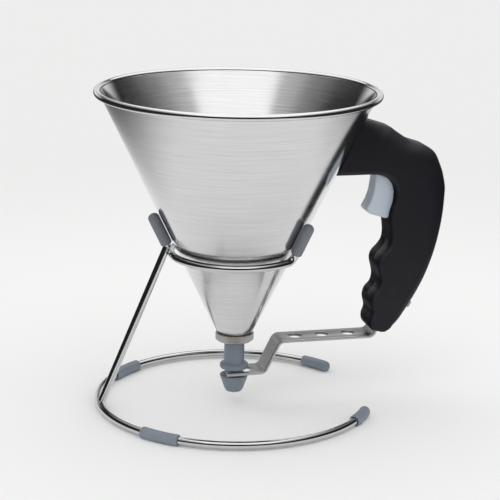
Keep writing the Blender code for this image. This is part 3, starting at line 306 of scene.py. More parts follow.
lathe, given = group("Turned on a lathe", {
    "Outline": "Geometry", "Steps": "Int", "Axis": "Vector", "Material": "Material"})
count = put(lathe, "GeometryNodeAttributeDomainSize", {0: given["Outline"]})
rows = sums(lathe, "ADD", count, 1.0)
grid = put(lathe, "GeometryNodeMeshGrid", {
    "Vertices X": sums(lathe, "ADD", given["Steps"], 1.0), "Vertices Y": rows})
index = put(lathe, "GeometryNodeInputIndex")
column = sums(lathe, "FLOOR", sums(lathe, "DIVIDE", sums(lathe, "ADD", index, 0.5), rows))
row = sums(lathe, "SUBTRACT", index, sums(lathe, "MULTIPLY", column, rows))
row = sums(lathe, "MODULO", row, count)
spot = put(lathe, "GeometryNodeSampleIndex", {
    "Geometry": given["Outline"], "Value": put(lathe, "GeometryNodeInputPosition"),
    "Index": row}, data_type="FLOAT_VECTOR", domain="POINT")
angle = sums(lathe, "DIVIDE", sums(lathe, "MULTIPLY", column, 2 * math.pi), given["Steps"])
spot = put(lathe, "ShaderNodeVectorRotate", {"Vector": spot, "Angle": angle},
           rotation_type="Z_AXIS")
spot = put(lathe, "ShaderNodeVectorMath", {0: spot, 1: given["Axis"]}, operation="ADD")
skin = put(lathe, "GeometryNodeSetPosition", {"Geometry": grid, "Position": spot})
skin = put(lathe, "GeometryNodeMergeByDistance", {"Geometry": skin, "Distance": 0.000002})
close_tree(lathe, skin, given["Material"])


def turned(name, outline, steps, finish, sharp=35.0, axis=None):
    """A closed outline of radius and height pairs, turned about the cone's axis."""
    points = outline_mesh(name, [(r, 0.0, z) for r, z in outline])
    return grown(name, lathe, {
        "Steps": steps, "Axis": (axis_x, 0.0, 0.0) if axis is None else axis,
        "Material": finish}, points, sharp)


def paint(red, green, blue):
    """A colour given by its display values from 0 to 255, as linear light."""
    made = []
    for value in (red, green, blue):
        share = value / 255
        made.append(share / 12.92 if share <= 0.04045 else ((share + 0.055) / 1.055) ** 2.4)
    return (*made, 1.0)


brushing, given = group(
    "Brushed lines", {"Vector": "Vector", "Broad": "Float", "Fine": "Float"},
    {"Lines": "Float", "Height": "Float"})
broad = put(brushing, "ShaderNodeTexNoise", {
    "Vector": given["Vector"], "Scale": given["Broad"], "Detail": 2.0, "Roughness": 0.5})
fine = put(brushing, "ShaderNodeTexNoise", {
    "Vector": given["Vector"], "Scale": given["Fine"], "Detail": 1.0, "Roughness": 0.5})
both = put(brushing, "ShaderNodeMix", {"Factor": 0.42, 2: broad, 3: fine}, data_type="FLOAT")
put(brushing, "NodeGroupOutput", {"Lines": eased(brushing, both, 0.34, 0.66), "Height": both})

smears, given = group(
    "Handling smears", {"Vector": "Vector", "Scale": "Float"}, {"Smears": "Float"})
cloud = put(smears, "ShaderNodeTexNoise", {
    "Vector": given["Vector"], "Scale": given["Scale"], "Detail": 4.0, "Roughness": 0.5,
    "Distortion": 0.6})
put(smears, "NodeGroupOutput", {"Smears": eased(smears, cloud, 0.38, 0.72)})


def surface(tree, shader, tone, height, colour, contrast, rough, marks, smear, bump, relief):
    """Joins a pattern's tone and height and the smears to the shader: colour, gloss, relief."""
    dark = tuple(c * (1 - contrast) for c in colour[:3]) + (1.0,)
    light = tuple(min(1.0, c * (1 + contrast)) for c in colour[:3]) + (1.0,)
    tree.links.new(blend(tree, tone, dark, light), shader.inputs["Base Color"])
    even = put(tree, "ShaderNodeMapRange", {"Value": tone, "To Min": rough[0], "To Max": rough[1]})
    tree.links.new(sums(tree, "MULTIPLY_ADD", marks, smear, even), shader.inputs["Roughness"])
    normal = put(tree, "ShaderNodeBump", {"Strength": bump, "Distance": relief, "Height": height})
    tree.links.new(normal, shader.inputs["Normal"])


def steel(name, colour, roughness, anisotropy, stretch, contrast, broad, fine, bump, smear=0.04):
    """Stainless steel with brushed lines stretched along the axes that have small shares."""
    made, tree, shader, coordinates = new_finish(name)
    drawn = put(tree, "ShaderNodeMapping", {"Vector": coordinates, "Scale": stretch})
    lines = put(tree, "ShaderNodeGroup", {"Vector": drawn, "Broad": broad, "Fine": fine},
                node_tree=brushing)
    marks = put(tree, "ShaderNodeGroup", {"Vector": coordinates, "Scale": 38.0}, node_tree=smears)
    surface(tree, shader, lines, lines.node.outputs["Height"], colour, contrast,
            (roughness * 0.94, roughness * 1.06), marks, smear, bump, 0.00005)
    shader.inputs["Metallic"].default_value = 1.0
    if anisotropy:
        shader.inputs["Anisotropic"].default_value = anisotropy
        shader.inputs["Anisotropic Rotation"].default_value = 0.25
    return made


cone_steel = steel("brushed_cone_steel", (0.710, 0.710, 0.714, 1.0), 0.135, 0.91,
                   (0.010, 0.010, 1.0), 0.062, 1450.0, 2900.0, 0.17)
wall_steps, wall_low, inner_edge, outer_edge = 256, 0.056, 0.00012, 0.00025
heights = np.linspace(wall_low, bead_z, 14)
cone_wall = turned("cone_wall", [
    (cone_radius(outlet_height, -sheet), outlet_height + inner_edge),
    (cone_radius(outlet_height, -sheet) + inner_edge, outlet_height),
    (outlet_radius - outer_edge, outlet_height),
    (cone_radius(outlet_height + outer_edge), outlet_height + outer_edge),
] + [(cone_radius(z), z) for z in heights]
    + [(cone_radius(z, -sheet), z) for z in heights[::-1]], wall_steps, cone_steel)
fit(cone_wall, "funnel", "brushed_cone", cone_steel, "funnel_cone")


# ---- Rolled rim -------------------------------------------------------------------------------
# The sheet's upper edge is rolled outwards and down into a hollow bead and polished bright. Its
# raw edge stops just short of the wall, which leaves a dark line under the roll.

rim_steel = steel("polished_rim_steel", (0.72, 0.72, 0.725, 1.0), 0.09, 0.2,
                  (0.05, 0.05, 1.0), 0.02, 300.0, 1400.0, 0.05)
off = Vector((math.cos(slope), -math.sin(slope)))
along = Vector((math.sin(slope), math.cos(slope)))
centre = Vector((bead_x, bead_z))


def on_roll(radius, degrees):
    """Radius and height of a place on the rolled bead."""
    turn = math.radians(degrees)
    return tuple(centre + (off * math.cos(turn) + along * math.sin(turn)) * radius)


inner_reach = bead_inset * math.cos(slope) + sheet
start = 360.0 - math.degrees(math.acos(-inner_reach / bead_radius))
outer_turns, inner_turns = np.linspace(start, -104.0, 44), np.linspace(-102.0, start - 6.0, 30)
raw_edge = -108.0
rolled = [on_roll(bead_radius, turn) for turn in outer_turns]
rolled += [on_roll(bead_radius - sheet * share, raw_edge) for share in (0.3, 0.7)]
rolled += [on_roll(bead_radius - sheet, turn) for turn in inner_turns]
rolled_rim = turned("rolled_rim", rolled, wall_steps, rim_steel, 50.0)
fit(rolled_rim, "funnel", "brushed_cone", rim_steel, "funnel_cone")


# ---- Outlet, gasket and valve seal ------------------------------------------------------------
# The outlet is a turned steel ferrule welded inside the cone's tip, with a thread outside and
# the valve's sloping seat inside. A flat rubber gasket seals its end, a rubber ring the plug.

clear = 0.0003
thread_radius, thread_length = 0.0096, 0.0027
guide_radius = 0.0139 / 2 + clear
ferrule_low = outlet_height - thread_length
ferrule_top = outlet_height + 0.0057
seat_low, seat_depth = outlet_height + 0.0017, 0.0020
inset = -sheet - clear
turned_steel = steel("turned_outlet_steel", (0.62, 0.62, 0.63, 1.0), 0.30, 0.3,
                     (0.1, 0.1, 1.0), 0.05, 500.0, 2200.0, 0.15)
outline = [
    (cone_radius(ferrule_top, inset), ferrule_top),
    (cone_radius(outlet_height, inset), outlet_height), (thread_radius, outlet_height)]
for turn in range(3):
    z = outlet_height - 0.0003 - turn * 0.0007
    outline += [(thread_radius, z), (thread_radius - 0.00035, z - 0.00030),
                (thread_radius, z - 0.00060)]
outline += [
    (thread_radius, ferrule_low + 0.0002), (thread_radius - 0.0002, ferrule_low),
    (guide_radius + 0.0002, ferrule_low), (guide_radius, ferrule_low + 0.0002),
    (guide_radius, seat_low), (guide_radius + seat_depth, seat_low + seat_depth),
    (cone_radius(ferrule_top, inset) - 0.0010, ferrule_top - 0.0002),
    (cone_radius(ferrule_top, inset) - 0.0008, ferrule_top)]
ferrule = turned("outlet_ferrule_turned", outline, 96, turned_steel, 25.0)
fit(ferrule, "funnel", "turned_steel", turned_steel, "outlet_ferrule")

grain, given = group(
    "Moulded grain", {"Vector": "Vector", "Grain": "Float", "Clouds": "Float"},
    {"Height": "Float", "Tone": "Float"})
pebble = put(grain, "ShaderNodeTexNoise", {
    "Vector": given["Vector"], "Scale": given["Grain"], "Detail": 2.0, "Roughness": 0.6})
drift = put(grain, "ShaderNodeTexNoise", {
    "Vector": given["Vector"], "Scale": given["Clouds"], "Detail": 3.0, "Roughness": 0.5})
mottle = put(grain, "ShaderNodeMix", {"Factor": 0.35, 2: drift, 3: pebble}, data_type="FLOAT")
put(grain, "NodeGroupOutput", {"Height": pebble, "Tone": eased(grain, mottle, 0.30, 0.70)})


def moulded(name, colour, roughness, grain_scale, bump, spread=0.06, specular=0.5):
    """Moulded rubber or plastic: a fine grain, a drifting tone and a slightly uneven gloss."""
    made, tree, shader, coordinates = new_finish(name)
    skin = put(tree, "ShaderNodeGroup", {
        "Vector": coordinates, "Grain": grain_scale, "Clouds": 90.0}, node_tree=grain).node
    marks = put(tree, "ShaderNodeGroup", {"Vector": coordinates, "Scale": 55.0}, node_tree=smears)
    surface(tree, shader, skin.outputs["Tone"], skin.outputs["Height"], colour, spread,
            (roughness + 0.03, roughness - 0.03), marks, -0.05, bump, 0.0001)
    shader.inputs["Specular IOR Level"].default_value = specular
    return made


seal_rubber = moulded("grey_seal_rubber", paint(92, 98, 106), 0.60, 2600.0, 0.25)
gasket_low, gasket_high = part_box("collar_gasket")
edge = 0.0002
gasket = turned("collar_gasket_moulded", [
    (thread_radius - edge, gasket_high.z), (thread_radius, gasket_high.z - edge),
    (thread_radius, gasket_low.z + edge), (thread_radius - edge, gasket_low.z),
    (guide_radius + edge, gasket_low.z), (guide_radius, gasket_low.z + edge),
    (guide_radius, gasket_high.z - edge), (guide_radius + edge, gasket_high.z),
], 72, seal_rubber)
fit(gasket, "gasket", "seal_rubber", seal_rubber, "collar_gasket")

seal_section = 0.0018
stand_off = (seal_section / 2 + clear) / math.sqrt(2.0)
seal_x = guide_radius + seat_depth / 2 - stand_off
seal_z = seat_low + seat_depth / 2 + stand_off
seal = turned("valve_seal_moulded", [
    (seal_x + seal_section / 2 * math.cos(turn), seal_z + seal_section / 2 * math.sin(turn))
    for turn in np.linspace(0.0, 2 * math.pi, 20, endpoint=False)], 72, seal_rubber)
fit(seal, "nozzle", "seal_rubber", seal_rubber, "valve_seal")


# ---- Collar nut -------------------------------------------------------------------------------
# A steel ring nut screws on the outlet and holds the gasket. Its side has a fine straight knurl
# between two plain chamfers, which catch a thin line of light.

nut_low, nut_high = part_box("collar_nut")
nut_radius = (nut_high.x - nut_low.x) / 2
lip_top = gasket_low.z - clear
nut_steel = steel("knurled_nut_steel", (0.47, 0.455, 0.44, 1.0), 0.30, 0.0,
                  (1.0, 1.0, 0.3), 0.10, 700.0, 2600.0, 0.35)
core = nut_radius - 0.00055
inner = thread_radius + clear
nut = turned("collar_nut_turned", [
    (nut_radius - 0.0009, nut_high.z), (nut_radius - 0.0005, nut_high.z - 0.0001),
    (core, nut_high.z - 0.0006), (core, nut_low.z + 0.0011),
    (core - 0.0007, nut_low.z + 0.0002), (core - 0.0010, nut_low.z),
    (guide_radius + 0.0003, nut_low.z), (guide_radius, nut_low.z + 0.0003),
    (guide_radius, lip_top), (inner, lip_top), (inner, nut_high.z - 0.0003),
    (inner + 0.0003, nut_high.z)], 144, nut_steel, 25.0)
fit(nut, "nut", "turned_steel", nut_steel, "collar_nut")

knurl, given = group("Straight knurl", {
    "Ribs": "Int", "Ring radius": "Float", "Rib radius": "Float", "Rib height": "Float",
    "Centre": "Vector", "Material": "Material"})
ring = put(knurl, "GeometryNodeMeshCircle", {
    "Vertices": given["Ribs"], "Radius": given["Ring radius"]})
bar = put(knurl, "GeometryNodeMeshCylinder", {
    "Vertices": 4, "Radius": given["Rib radius"], "Depth": given["Rib height"]})
facing = sums(knurl, "DIVIDE", sums(
    knurl, "MULTIPLY", put(knurl, "GeometryNodeInputIndex"), 2 * math.pi), given["Ribs"])
ribs = put(knurl, "GeometryNodeInstanceOnPoints", {
    "Points": ring, "Instance": bar,
    "Rotation": put(knurl, "ShaderNodeCombineXYZ", {"Z": facing})})
ribs = put(knurl, "GeometryNodeTransform", {"Geometry": ribs, "Translation": given["Centre"]})
close_tree(knurl, ribs, given["Material"])
rib_radius = 0.00062
rib_low, rib_high = nut_low.z + 0.0010, nut_high.z - 0.0005
ribs = grown("collar_nut_knurl", knurl, {
    "Ribs": 60, "Ring radius": nut_radius - rib_radius, "Rib radius": rib_radius,
    "Rib height": rib_high - rib_low, "Centre": (axis_x, 0.0, (rib_low + rib_high) / 2),
    "Material": nut_steel}, sharp=20.0)
fit(ribs, "nut", "turned_steel", nut_steel, "collar_nut")


# ---- Nozzle -----------------------------------------------------------------------------------
# The sliding nozzle is moulded in blue-grey rubber: a plug head in the outlet, a tube with four
# ports, a rounded flange, the groove that the arm's fork lifts and a tapered tip with its bore.

nozzle_plastic = moulded("blue_grey_nozzle_plastic", paint(115, 125, 136), 0.42, 2200.0, 0.12, 0.04)
tube_radius, bore_radius, groove_radius = 0.0139 / 2, 0.0044, 0.0062
groove_low, groove_high = 0.0193, 0.0243
flange_radius, flange_top = 0.0098, 0.0280
shoulder_radius, tip_radius, tip_low = 0.0097, 0.0056, 0.0077
head_radius = 0.0088
head_low = seal_z + seal_section / 2 + clear
head_top = head_low + 0.0035
neck_radius = seal_x - seal_section / 2 - clear
neck_low = seal_z - seal_section / 2 - clear
port_top = outlet_height + 0.0008


def bend(centre_x, centre_z, radius, first, last, steps=6):
    """Points round a corner of an outline; angles in degrees from outwards towards upwards."""
    return [(centre_x + radius * math.cos(math.radians(turn)),
             centre_z + radius * math.sin(math.radians(turn)))
            for turn in np.linspace(first, last, steps)]


side_height, dome_height = 0.0013, 0.0022
outline = [(0.0, head_top)]
outline += [(head_radius * math.sin(turn), head_low + side_height + dome_height * math.cos(turn))
            for turn in np.linspace(0.12, math.pi / 2, 12)]
outline += [(head_radius, head_low), (neck_radius, head_low), (neck_radius, neck_low),
            (tube_radius, neck_low)]
outline += [(tube_radius, z) for z in np.linspace(0.0450, 0.0292, 5)]
outline += bend(tube_radius + 0.0007, flange_top + 0.0005, 0.0007, 180.0, 262.0, 6)
outline += bend(flange_radius - 0.0014, flange_top - 0.0016, 0.0014, 84.0, 0.0, 8)
outline += bend(flange_radius - 0.0009, groove_high + 0.0009, 0.0009, 0.0, -90.0, 6)
outline += [(groove_radius, groove_high), (groove_radius, groove_low)]
outline += bend(shoulder_radius - 0.0006, groove_low - 0.0006, 0.0006, 90.0, -10.0, 6)
outline += [(tip_radius + 0.0010, tip_low + 0.0020)]
outline += bend(tip_radius - 0.0006, tip_low + 0.0009, 0.0009, -20.0, -90.0, 7)
outline += [(bore_radius + 0.0003, tip_low), (bore_radius, tip_low + 0.0003),
            (bore_radius, port_top), (0.0, port_top)]
nozzle = turned("nozzle_moulded", outline, 96, nozzle_plastic, 40.0)


def cutter(name, low, high):
    """A box between two corners, to cut with or to join on."""
    shape = bmesh.new()
    bmesh.ops.create_cube(shape, size=1.0)
    low, high = Vector(low), Vector(high)
    bmesh.ops.scale(shape, vec=high - low, verts=shape.verts)
    bmesh.ops.translate(shape, vec=(high + low) / 2, verts=shape.verts)
    return show_shape(name, shape)


def carve(piece, tools, operation="DIFFERENCE", sharp=35.0):
    """The piece with the tools cut out of it, or joined on; the tools are used up."""
    for tool in tools:
        step = piece.modifiers.new(tool.name, "BOOLEAN")
        step.operation, step.object, step.solver = operation, tool, "EXACT"
    made = as_plain(piece, sharp)
    for tool in tools:
        bpy.data.objects.remove(tool, do_unlink=True)
    return made


port_height = 0.0044
ports = [cutter(f"port_{wide}", (axis_x - wide, -deep, port_top - port_height),
                (axis_x + wide, deep, port_top - clear))
         for wide, deep in ((0.0139, 0.0021), (0.0021, 0.0139))]
nozzle = carve(nozzle, ports, sharp=40.0)
fit(nozzle, "nozzle", "nozzle_rubber", nozzle_plastic, "nozzle_piston")


# ---- Wire stand -------------------------------------------------------------------------------
# Three lengths of polished steel rod, 5.2 mm thick, bent cold and welded: an open base ring, a
# leaning leg and an open upper ring whose ends turn up to lie along the cone.

wire_radius, sleeve_radius = 0.0026, 0.0039
ring_radius, ring_z = 0.0932, 0.0034
base_mouth, support_mouth = math.radians(29.0), math.radians(45.0)
support_z, cap_wall = 0.1065, 0.0020
upright_length, cap_length, foot_length = 0.0235, 0.0235, 0.0280
wire_steel = steel("polished_wire_steel", (0.64, 0.64, 0.648, 1.0), 0.07, 0.0,
                   (1.0, 1.0, 1.0), 0.02, 160.0, 900.0, 0.03, 0.05)


def piped(tree, curve, sides, radius):
    """A round bar along a curve, closed at its ends."""
    section = put(tree, "GeometryNodeCurvePrimitiveCircle", {"Resolution": sides, "Radius": radius})
    return put(tree, "GeometryNodeCurveToMesh", {
        "Curve": curve, "Profile Curve": section, "Fill Caps": True})


bending, given = group("Bent wire", {
    "Path": "Geometry", "Wire radius": "Float", "Sides": "Int", "Material": "Material"})
line = put(bending, "GeometryNodeMeshToCurve", {"Mesh": given["Path"]})
drawn = piped(bending, line, given["Sides"], given["Wire radius"])
close_tree(bending, drawn, given["Material"])


def bent_wire(node, points):
    """A length of wire bent along the points, in place of its CAD node."""
    name = f"{node}_wire"
    wire = grown(name, bending, {
        "Wire radius": wire_radius, "Sides": 28, "Material": wire_steel},
        outline_mesh(name, [tuple(point) for point in points]), 50.0)
    fit(wire, "stand", "stand_wire", wire_steel, node)


def ring_point(radius, turn, z):
    """A place at an angle round the cone's axis."""
    return Vector((axis_x + radius * math.cos(turn), radius * math.sin(turn), z))


def base_arc(first, last, count):
    """Places along the base ring's centre line."""
    return [ring_point(ring_radius, turn, ring_z) for turn in np.linspace(first, last, count)]


def beside_cone(turn, z):
    """On the centre line of an upright end of wire, beside the cone."""
    return ring_point(cone_radius(z, sleeve_radius + clear), turn, z)


def soft_corner(before, corner, after, shares):
    """Points of the curve that leads round a corner, at shares of its way."""
    return [before * (1 - t) ** 2 + corner * (2 * t * (1 - t)) + after * t ** 2 for t in shares]


first = base_mouth + (cap_wall + clear) / ring_radius
bent_wire("base_ring", base_arc(first, 2 * math.pi - first, 217))

support_radius = cone_radius(support_z, sleeve_radius + clear)
upturn = 0.0060
rise = upturn * math.cos(slope)
sleeve_start = support_z + rise + clear
sleeve_rise = upright_length * math.cos(slope)
cap_drop = (cap_wall + clear) * math.cos(slope)
turn_in = upturn / support_radius
ends = []
for way in (1, -1):
    turn = way * support_mouth
    ends.append([beside_cone(turn, sleeve_start + sleeve_rise - cap_drop)] + soft_corner(
        beside_cone(turn, support_z + rise), beside_cone(turn, support_z),
        ring_point(support_radius, turn + way * turn_in, support_z), np.linspace(0.0, 1.0, 16)))
first = support_mouth + turn_in
points = ends[0] + [ring_point(support_radius, turn, support_z) for turn in np.linspace(
    first, 2 * math.pi - first, 145)[1:-1]] + ends[1][::-1]
bent_wire("support_ring", points)

foot_centre = Vector((axis_x - ring_radius, 0.0, ring_z))
reach = Vector((axis_x - support_radius, 0.0, support_z)) - foot_centre
lean = math.asin((2 * wire_radius + clear) / reach.length)
upward = Matrix.Rotation(-lean, 3, "Y") @ reach.normalized()
foot = foot_centre + upward * (wire_radius + clear)
low = beside_cone(math.pi, support_z)
rising = (beside_cone(math.pi, cone_high.z) - low).normalized()
run = ((low - foot).x * rising.z - (low - foot).z * rising.x) / (
    upward.x * rising.z - upward.z * rising.x)
knee = foot + upward * run
knee_reach = 0.0020
leg_sleeve_low = knee.z + knee_reach * 0.6 * math.cos(slope)
points = [foot, foot + upward * (run - knee_reach)]
points += soft_corner(knee - upward * knee_reach, knee, knee + rising * knee_reach,
                      np.linspace(0.1, 1.0, 10))
points += [beside_cone(math.pi, leg_sleeve_low + sleeve_rise - cap_drop)]
bent_wire("stand_leg", points)


# ---- Rubber sleeves and caps ------------------------------------------------------------------
# Rubber pushed on the wires, with rounded ends: three blind sleeves that the cone rests on, in the
# blue-grey rubber painted darker as shade, and two blue-grey sleeves and two caps as feet, worn
# flat where they stand.

sleeve_rubber = moulded("blue_grey_sleeve_rubber", paint(126, 135, 146), 0.52, 1900.0, 0.22, 0.05)
# Painted shade: the upright sleeves under the cone get the same rubber made darker, since less of
# the top light reaches them.
shaded_sleeve_rubber = moulded("dark_grey_cradle_rubber", paint(112, 117, 125), 0.50, 1900.0, 0.22, 0.05)


def along_line(points, distances):
    """Places and directions at distances along a path, which goes straight on past its ends."""
    dense = np.array([tuple(point) for point in points])
    run = np.concatenate(((0.0,), np.cumsum(np.linalg.norm(np.diff(dense, axis=0), axis=1))))
    first = (dense[0] - dense[1]) / run[1]
    last = (dense[-1] - dense[-2]) / (run[-1] - run[-2])
    made = []
    for distance in distances:
        spots = []
        for step in (-0.0003, 0.0, 0.0003):
            at = distance + step
            spot = np.array([np.interp(at, run, column) for column in dense.T])
            spots.append(spot + first * max(-at, 0.0) + last * max(at - run[-1], 0.0))
        made.append((Vector(spots[1]), Vector(spots[2] - spots[0]).normalized()))
    return made


def sleeve(node, points, length, blind, rubber=sleeve_rubber):
    """A tube of rubber along a wire; its outline runs outside, over the end and back inside."""
    radius, bore = sleeve_radius, wire_radius + clear * 0.6
    lip, chamfer, station_length, sides = 0.0010, 0.0003, 0.0016, 40
    curl = [(lip * (1 - math.sin(t)), radius - lip * (1 - math.cos(t)) * 0.75)
            for t in np.linspace(math.pi / 2, 0.0, 7)]
    stations = max(3, round(length / station_length))
    end = length - (radius * 0.92 if blind else lip)
    outline = curl + [(s, radius) for s in np.linspace(lip, end, stations)][1:]
    if blind:
        outline += [(end + (length - end) * math.sin(t), radius * math.cos(t) ** 0.82)
                    for t in np.linspace(0.0, math.pi / 2, 12)[1:-1]]
        stop = length - cap_wall
        outline += [(length, 0.0), (stop, 0.0), (stop, bore)]
    else:
        stop = length - chamfer
        outline += [(length - at, wide) for at, wide in curl[-2::-1]]
        outline += [(length, bore + chamfer), (stop, bore)]
    outline += [(s, bore) for s in np.linspace(stop, chamfer, stations)[1:]]
    outline += [(0.0, bore + chamfer)]
    shape = bmesh.new()
    rings = []
    for (_, wide), (spot, heading) in zip(outline, along_line(points, [s for s, _ in outline])):
        beside = heading.cross(Vector((0.0, 0.0, 1.0))).normalized()
        upwards = beside.cross(heading)
        if wide < 1e-6:
            rings.append([shape.verts.new(spot)] * sides)
            continue
        ring = []
        for step in range(sides):
            turn = 2 * math.pi * step / sides
            corner = spot + (beside * math.cos(turn) + upwards * math.sin(turn)) * wide
            corner.z = max(corner.z, 0.0)
            ring.append(shape.verts.new(corner))
        rings.append(ring)
    for one, other in zip(rings, rings[1:] + rings[:1]):
        for step in range(sides):
            after = (step + 1) % sides
            corners = [one[step], one[after], other[after], other[step]]
            corners = [v for i, v in enumerate(corners) if v not in corners[:i]]
            if len(corners) > 2:
                shape.faces.new(corners)
    piece = as_plain(show_shape(f"{node}_moulded", shape), 45.0)
    fit(piece, "stand", "blue_grey_rubber", rubber, node)


def upright(turn, start):
    """The line of an upright sleeve, and its length."""
    low, high = beside_cone(turn, start), beside_cone(turn, start + sleeve_rise)
    return [low, high], (high - low).length


foot_turn = math.radians(46.0)
half = foot_length / ring_radius / 2
sleeve("leg_sleeve", *upright(math.pi, leg_sleeve_low), True, shaded_sleeve_rubber)
for way, where in ((-1, "front"), (1, "rear")):
    sleeve(f"support_sleeve_{where}", *upright(way * support_mouth, sleeve_start), True,
           shaded_sleeve_rubber)
    middle, mouth = math.pi - way * foot_turn, way * base_mouth
    sleeve(f"foot_sleeve_{where}", base_arc(middle - half, middle + half, 41), foot_length, False)
    sleeve(f"end_cap_{where}", base_arc(mouth + way * cap_length / ring_radius, mouth, 41),
           cap_length, True)


# ---- Handle shells ----------------------------------------------------------------------------
# Two moulded halves of matt black plastic, screwed together at the middle plane: a head against
# the cone, a hooked shoulder and a pistol grip with finger hollows, slotted for the moving parts.

handle_low, handle_length, handle_depth = 0.0477, 0.1493, 0.0807
handle_thickness, handle_wall = 0.0260, 0.0024
wall_x = cone_radius(handle_low + 0.7445 * handle_length)
handle_black = moulded("matt_black_handle_plastic", (0.0038, 0.0035, 0.0084, 1.0), 0.56, 1500.0,
                       0.30, 0.10)
skin = handle_black.node_tree
# Painted sheen and shade: the reflection is strong where the plastic faces up towards the soft box
# and nearly off where it faces the cone, for a brighter highlight on top and a dark front.
facing = put(skin, "ShaderNodeSeparateXYZ", {
    "Vector": skin.nodes.new("ShaderNodeTexCoord").outputs["Normal"]}).node.outputs
gloss = sums(skin, "MULTIPLY", *[put(skin, "ShaderNodeMapRange", {
    "Value": facing[axis], "From Min": start, "From Max": end, "To Min": least, "To Max": 1.0})
    for axis, start, end, least in (("Z", 0.0, 0.35, 0.48), ("X", -1.0, -0.55, 0.03))])
shader = skin.nodes["Principled BSDF"]
skin.links.new(gloss, shader.inputs["Specular IOR Level"])
shader.inputs["Specular Tint"].default_value = (0.95, 0.93, 1.0, 1.0)


def at_handle(share):
    """The x and z of a place given as shares of the handle's depth and height."""
    return (axis_x + wall_x + share[0] * handle_depth, handle_low + share[1] * handle_length)


underside = (
    (-0.057, 0.7445), (0.167, 0.7445), (0.340, 0.7445), (0.415, 0.738), (0.478, 0.722),
    (0.523, 0.692), (0.540, 0.6585))
top_edge = (
    (0.135, 1.020), (0.358, 0.981), (0.487, 0.959), (0.539, 0.940), (0.628, 0.908),
    (0.682, 0.892), (0.767, 0.877), (0.818, 0.866), (0.896, 0.834), (0.946, 0.780),
    (0.973, 0.742))
grip_front = (
    (0.540, 0.6585), (0.535, 0.615), (0.511, 0.570), (0.503, 0.528), (0.517, 0.454),
    (0.506, 0.411), (0.470, 0.382), (0.423, 0.354), (0.408, 0.320), (0.434, 0.252),
    (0.418, 0.208), (0.374, 0.180), (0.356, 0.143), (0.373, 0.093), (0.354, 0.056),
    (0.357, 0.026), (0.385, 0.006), (0.440, 0.000))
grip_back = (
    (0.973, 0.742), (0.998, 0.681), (1.000, 0.634), (0.988, 0.539), (0.958, 0.444),
    (0.913, 0.350), (0.848, 0.255), (0.758, 0.160), (0.647, 0.066), (0.580, 0.028),
    (0.547, 0.009), (0.506, 0.000))


def smooth_line(points, count):
    """Points spaced evenly along a smooth curve through the given ones."""
    given = np.array(points, dtype=float)
    padded = np.vstack((2 * given[0] - given[1], given, 2 * given[-1] - given[-2]))
    dense = []
    for index in range(1, len(padded) - 2):
        before, start, end, after = padded[index - 1:index + 3]
        for t in np.arange(24) / 24:
            dense.append(0.5 * (
                2 * start + (end - before) * t
                + (2 * before - 5 * start + 4 * end - after) * t**2
                + (3 * start - before - 3 * end + after) * t**3))
    dense.append(given[-1])
    dense = np.array(dense)
    run = np.concatenate(((0.0,), np.cumsum(np.linalg.norm(np.diff(dense, axis=0), axis=1))))
    wanted = np.linspace(0.0, run[-1], count)
    return np.stack([np.interp(wanted, run, column) for column in dense.T], axis=1)


edges = []
for head, grip in ((underside, grip_front), (top_edge, grip_back)):
    upper = smooth_line([at_handle(share) for share in head], 46)
    lower = smooth_line([at_handle(share) for share in grip], 106)
    edges.append([Vector(point) for point in np.vstack((upper, lower[1:]))])
fronts, backs = edges
last = len(fronts) - 1
first_hollow, last_hollow = 18, 147
head_rows, tip_rows, open_rows, crown_last, crown_rows = 14, 16, 18, 95, 40
least_rounding, head_rounding, open_cut, front_rounding = 0.0036, 0.0044, 0.0010, 0.0040
seam_in, seam_up = 0.00030, 0.00050


def half_section(front, back, rounding, crown, inset):
    """Half of the handle's section: pairs of place from front to back and distance off it."""
    length = (back - front).length
    half = handle_thickness / 2 - inset
    radius = min(max(rounding - inset, clear), length / 2 - inset - clear)
    front_radius = min(max(front_rounding - inset, clear), radius)
    reach = min(radius * crown, length / 2 - inset)
    steps = 9 if inset == 0 else 3
    seam = clear / 2
    points = [(seam_in, seam), (0.0, seam_up)] if inset == 0 else [(inset, seam)]
    for turn in np.linspace(math.pi, math.pi / 2, steps + 1):
        points.append((inset + front_radius + front_radius * math.cos(turn),
                       half - front_radius + front_radius * math.sin(turn)))
    for turn in np.linspace(math.pi / 2, 0.0, steps + 1):
        points.append((length - inset - reach + reach * math.cos(turn),
                       half - radius + radius * math.sin(turn)))
    points += [(length, seam_up), (length - seam_in, seam)] if inset == 0 else [
        (length - inset, seam)]
    return points


